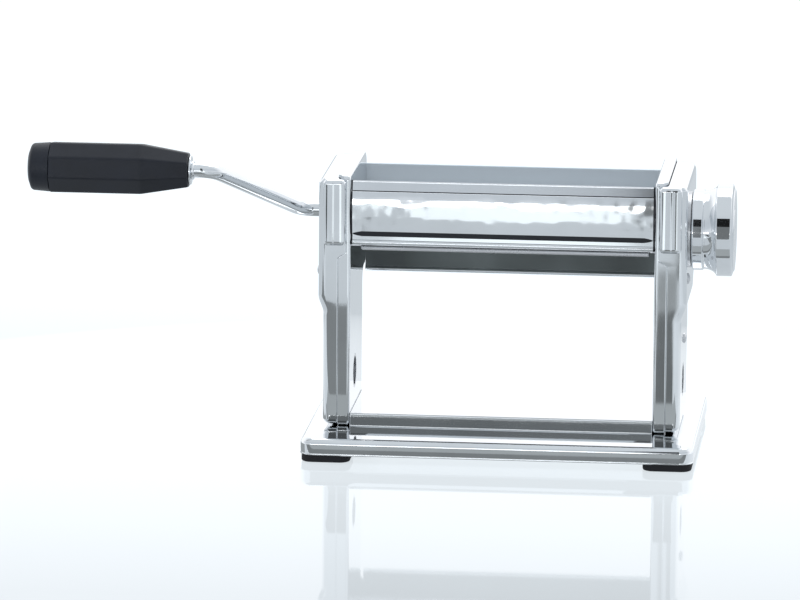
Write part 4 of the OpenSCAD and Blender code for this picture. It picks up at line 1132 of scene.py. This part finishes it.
class PASTA_OT_stage(Operator):
    """Sets the floor, the light and the camera"""

    bl_idname = "pasta.stage"
    bl_label = "Stage"

    def execute(self, context):
        p = context.scene.pasta_stage
        self.camera(context, p)
        self.floor(context, p)
        self.cards(context)
        self.world(context)
        self.lamps(context)
        context.scene.view_settings.view_transform = "Standard"
        return {"FINISHED"}

    def camera(self, context, p):
        """Looks back along azimuth and elevation at the target, turned by the roll."""
        a, e, t = p.azimuth, p.elevation, p.roll
        back = Vector((math.sin(a) * math.cos(e), -math.cos(a) * math.cos(e), math.sin(e)))
        right = Vector((math.cos(a), math.sin(a), 0))
        up = back.cross(right)
        across = right * math.cos(t) + up * math.sin(t)
        rise = up * math.cos(t) - right * math.sin(t)
        lens = bpy.data.cameras.new("camera")
        lens.sensor_width = 36
        lens.lens = p.focal
        lens.clip_end = 200
        eye = bpy.data.objects.new("camera", lens)
        place = Matrix.Translation(Vector(p.target) + back * p.distance)
        eye.matrix_world = place @ Matrix((across, rise, back)).transposed().to_4x4()
        context.scene.collection.objects.link(eye)
        context.scene.camera = eye

    def sheet(self, context, name, corners, material):
        """A flat sheet with four corners."""
        mesh = bpy.data.meshes.new(name)
        mesh.from_pydata(corners, [], [(0, 1, 2, 3)])
        mesh.materials.append(material)
        flat = bpy.data.objects.new(name, mesh)
        context.scene.collection.objects.link(flat)
        return flat

    def floor(self, context, p):
        """A pale floor with a soft gloss near the machine. It is lighter to the eye than in the chrome, and
        keeps the shadow. To the eye it glows less towards the front, as painted shade."""
        material, tree, shader = new_material("floor")
        mirrored, bright, gloss = 0.54, 1.0, 0.13
        middle = {0: own_place(tree), 1: (0, -0.2, 0)}
        far = add_node(tree, "ShaderNodeVectorMath", middle, operation="DISTANCE").outputs["Value"]
        seen = tree.nodes.new("ShaderNodeLightPath").outputs["Is Camera Ray"]
        # Painted shade: the glow the camera sees falls from the back of the floor to its front.
        level = spread(tree, own_axes(tree)["Y"], mirrored, bright, -0.4, 0.45)
        glow = add_node(tree, "ShaderNodeMix", {"Factor": seen, "A": mirrored, "B": level})
        fill(tree, shader, {
            "Base Color": (*p.floor, 1),
            "Roughness": 0.03,
            "Specular IOR Level": spread(tree, far, gloss, 0, 0.3, 0.55),
            "Emission Color": (0.9, 0.96, 1, 1),
            "Emission Strength": glow.outputs["Result"],
        })
        size, z = 30, -0.0003
        corners = [(-size, -size, z), (size, -size, z), (size, size, z), (-size, size, z)]
        self.sheet(context, "floor", corners, material)

    def card(self, context, name, corners, level, bounces):
        """A card that glows evenly at a level on its face, is clear from behind, and is seen only in the
        chrome, after at least so many bounces."""
        material, tree, shader = new_material(name)
        behind = tree.nodes.new("ShaderNodeNewGeometry").outputs["Backfacing"]
        depth = tree.nodes.new("ShaderNodeLightPath").outputs["Ray Depth"]
        front = calculate(tree, "SUBTRACT", 1, behind)
        late = calculate(tree, "GREATER_THAN", depth, bounces - 0.5)
        fill(tree, shader, {
            "Base Color": (0, 0, 0, 1),
            "Roughness": 1,
            "Specular IOR Level": 0,
            "Emission Color": (0.9, 0.97, 1, 1),
            "Emission Strength": level,
            "Alpha": calculate(tree, "MULTIPLY", front, late),
        })
        card = self.sheet(context, name, corners, material)
        card.visible_camera = False
        card.visible_diffuse = False
        card.visible_shadow = False

    def cards(self, context):
        """Cards in front of the machine: grey ones draw the dark stretches of the legs, the dial, the crank,
        the bridge and the rim, and white ones light the rails and the middle of the front cover. A level
        card has a height and two edges, each with its Y and its two X; the two cards of the dial stand up."""
        low, high = 0.001, 0.05
        for name, level, bounces, z, (y0, left0, right0), (y1, left1, right1) in (
            ("card_left", 0.27, 1, low, (-0.46, -0.5, -0.121), (-0.19, -0.5, -0.0965)),
            ("card_right", 0.18, 1, low, (-0.46, 0.0585, 0.079), (-0.19, 0.0715, 0.094)),
            ("card_beyond", 0.38, 1, low, (-0.6, 0.049, 0.072), (-0.46, 0.0585, 0.079)),
            ("card_dial_low", 0.2, 1, low, (-2.1, -0.015, 0.1), (-0.57, 0.0735, 0.1)),
            ("card_grip", 0.1, 1, low, (-1.6, -0.6, -0.3), (-0.6, -0.6, -0.27)),
            ("card_near", 0.25, 1, low, (-0.112, -0.2, 0.2), (-0.095, -0.2, 0.2)),
            ("card_next_near", 0.45, 1, low, (-0.19, -0.2, 0.2), (-0.112, -0.2, 0.2)),
            ("card_below", 0.19, 2, high, (-0.16, -0.2, 0.2), (-1.6, -0.2, 0.2)),
            ("card_foot_left", 0.1, 2, high, (-0.06, -0.135, -0.085), (-0.16, -0.135, -0.085)),
            ("card_foot_right", 0.1, 2, high, (-0.06, 0.068, 0.1), (-0.16, 0.068, 0.1)),
            ("card_rod", 0.4, 1, low, (-0.08, -0.185, -0.118), (0.1, -0.185, -0.118)),
            ("card_rails", 1.1, 1, low, (-1.1, 0.1, 0.2), (-0.57, 0.1, 0.2)),
            ("card_bright", 1.3, 1, low, (-3, -0.355, -0.1), (-0.48, -0.101, 0.044)),
        ):
            corners = [(left0, y0, z), (right0, y0, z), (right1, y1, z), (left1, y1, z)]
            self.card(context, name, corners, level, bounces)
        y, right = -2.1, 0.3
        for name, level, left, z0, z1 in (
            ("card_dial_mid", 0.2, -0.022, 0, 0.8),
            ("card_dial_high", 0.015, -0.06, 0.8, 1.79),
        ):
            corners = [(right, y, z0), (left, y, z0), (left, y, z1), (right, y, z1)]
            self.card(context, name, corners, level, 1)

    def world(self, context):
        """A studio round the machine: white behind, greyer in front and overhead, and white to the eye."""
        world = bpy.data.worlds.new("studio")
        world.use_nodes = True
        context.scene.world = world
        tree = world.node_tree
        heading = tree.nodes.new("ShaderNodeTexCoord").outputs["Generated"]
        axes = add_node(tree, "ShaderNodeSeparateXYZ", {"Vector": heading}).outputs
        height = add_node(tree, "ShaderNodeValToRGB", {"Fac": axes["Z"]})
        ramp = height.color_ramp
        stops = (
            (0.0, (0.85, 0.89, 0.93)),
            (0.12, (0.8, 0.85, 0.9)),
            (0.2, (0.66, 0.71, 0.76)),
            (0.45, (0.62, 0.67, 0.72)),
            (0.75, (0.72, 0.77, 0.81)),
        )
        while len(ramp.elements) < len(stops):
            ramp.elements.new(0.5)
        for element, (position, colour) in zip(ramp.elements, stops):
            element.position = position
            element.color = (*colour, 1)
        below = spread(tree, axes["Z"], 1, 0, 0.6, 0.9)
        behind = spread(tree, axes["Y"], 0, below, -0.25, 0.35)
        studio = blend(tree, behind, height.outputs["Color"], (1.2, 1.22, 1.25))
        seen = tree.nodes.new("ShaderNodeLightPath").outputs["Is Camera Ray"]
        fill(tree, tree.nodes["Background"], {"Color": blend(tree, seen, studio, (1, 1, 1)), "Strength": 1})

    def lamps(self, context):
        """A wide soft lamp overhead, a low one in front that the front cover mirrors, and a high one in
        front that the chrome doesn't show."""
        for name, place, aim, size, power in (
            ("lamp_over", (0.2, 0.9, 1.8), (0, 0, 0.1), (1.6, 1.2), 9),
            ("lamp_front", (-0.4, -2.2, 0.12), (0, 0, 0.12), (2.2, 0.16), 3),
            ("lamp_high", (0, -1.3, 1.9), (0, 0, 0.13), (1.8, 0.25), 13),
        ):
            lamp = bpy.data.lights.new(name, "AREA")
            lamp.shape = "RECTANGLE"
            lamp.size, lamp.size_y = size
            lamp.energy = power
            item = bpy.data.objects.new(name, lamp)
            item.location = place
            item.rotation_mode = "QUATERNION"
            item.rotation_quaternion = (Vector(aim) - Vector(place)).to_track_quat("-Z", "Y")
            item.visible_glossy = name != "lamp_high"
            context.scene.collection.objects.link(item)


GROUPS = {
    "pasta_base": PASTA_base_sizes,
    "pasta_stands": PASTA_stand_sizes,
    "pasta_covers": PASTA_cover_sizes,
    "pasta_dial": PASTA_dial_sizes,
    "pasta_rollers": PASTA_roller_sizes,
    "pasta_crank": PASTA_crank_sizes,
    "pasta_finish": PASTA_finish,
    "pasta_stage": PASTA_stage_sizes,
}
STEPS = (
    PASTA_OT_base,
    PASTA_OT_stands,
    PASTA_OT_covers,
    PASTA_OT_rollers,
    PASTA_OT_dial,
    PASTA_OT_crank,
    PASTA_OT_works,
    PASTA_OT_stage,
)


class PASTA_PT_machine(Panel):
    """Lists the sizes and the steps in the sidebar"""

    bl_idname = "PASTA_PT_machine"
    bl_label = "Pasta machine"
    bl_space_type = "VIEW_3D"
    bl_region_type = "UI"
    bl_category = "Pasta"

    def draw(self, context):
        """A box for each group of sizes and a button for each step."""
        for key, group in GROUPS.items():
            box = self.layout.box()
            box.label(text=key.replace("pasta_", "").capitalize())
            for name in group.__annotations__:
                box.prop(getattr(context.scene, key), name)
        for step in STEPS:
            self.layout.operator(step.bl_idname)


def register():
    """Adds the classes and the sizes to Blender."""
    for item in (*GROUPS.values(), *STEPS, PASTA_PT_machine):
        bpy.utils.register_class(item)
    for key, group in GROUPS.items():
        setattr(bpy.types.Scene, key, PointerProperty(type=group))


def unregister():
    """Takes them out again."""
    for key in GROUPS:
        delattr(bpy.types.Scene, key)
    for item in reversed((*GROUPS.values(), *STEPS, PASTA_PT_machine)):
        bpy.utils.unregister_class(item)


def main():
    """Builds the machine and its stage."""
    register()
    bpy.ops.pasta.base()
    bpy.ops.pasta.stands()
    bpy.ops.pasta.covers()
    bpy.ops.pasta.rollers()
    bpy.ops.pasta.dial()
    bpy.ops.pasta.crank()
    bpy.ops.pasta.works()
    bpy.ops.pasta.stage()


if __name__ == "__main__":
    main()
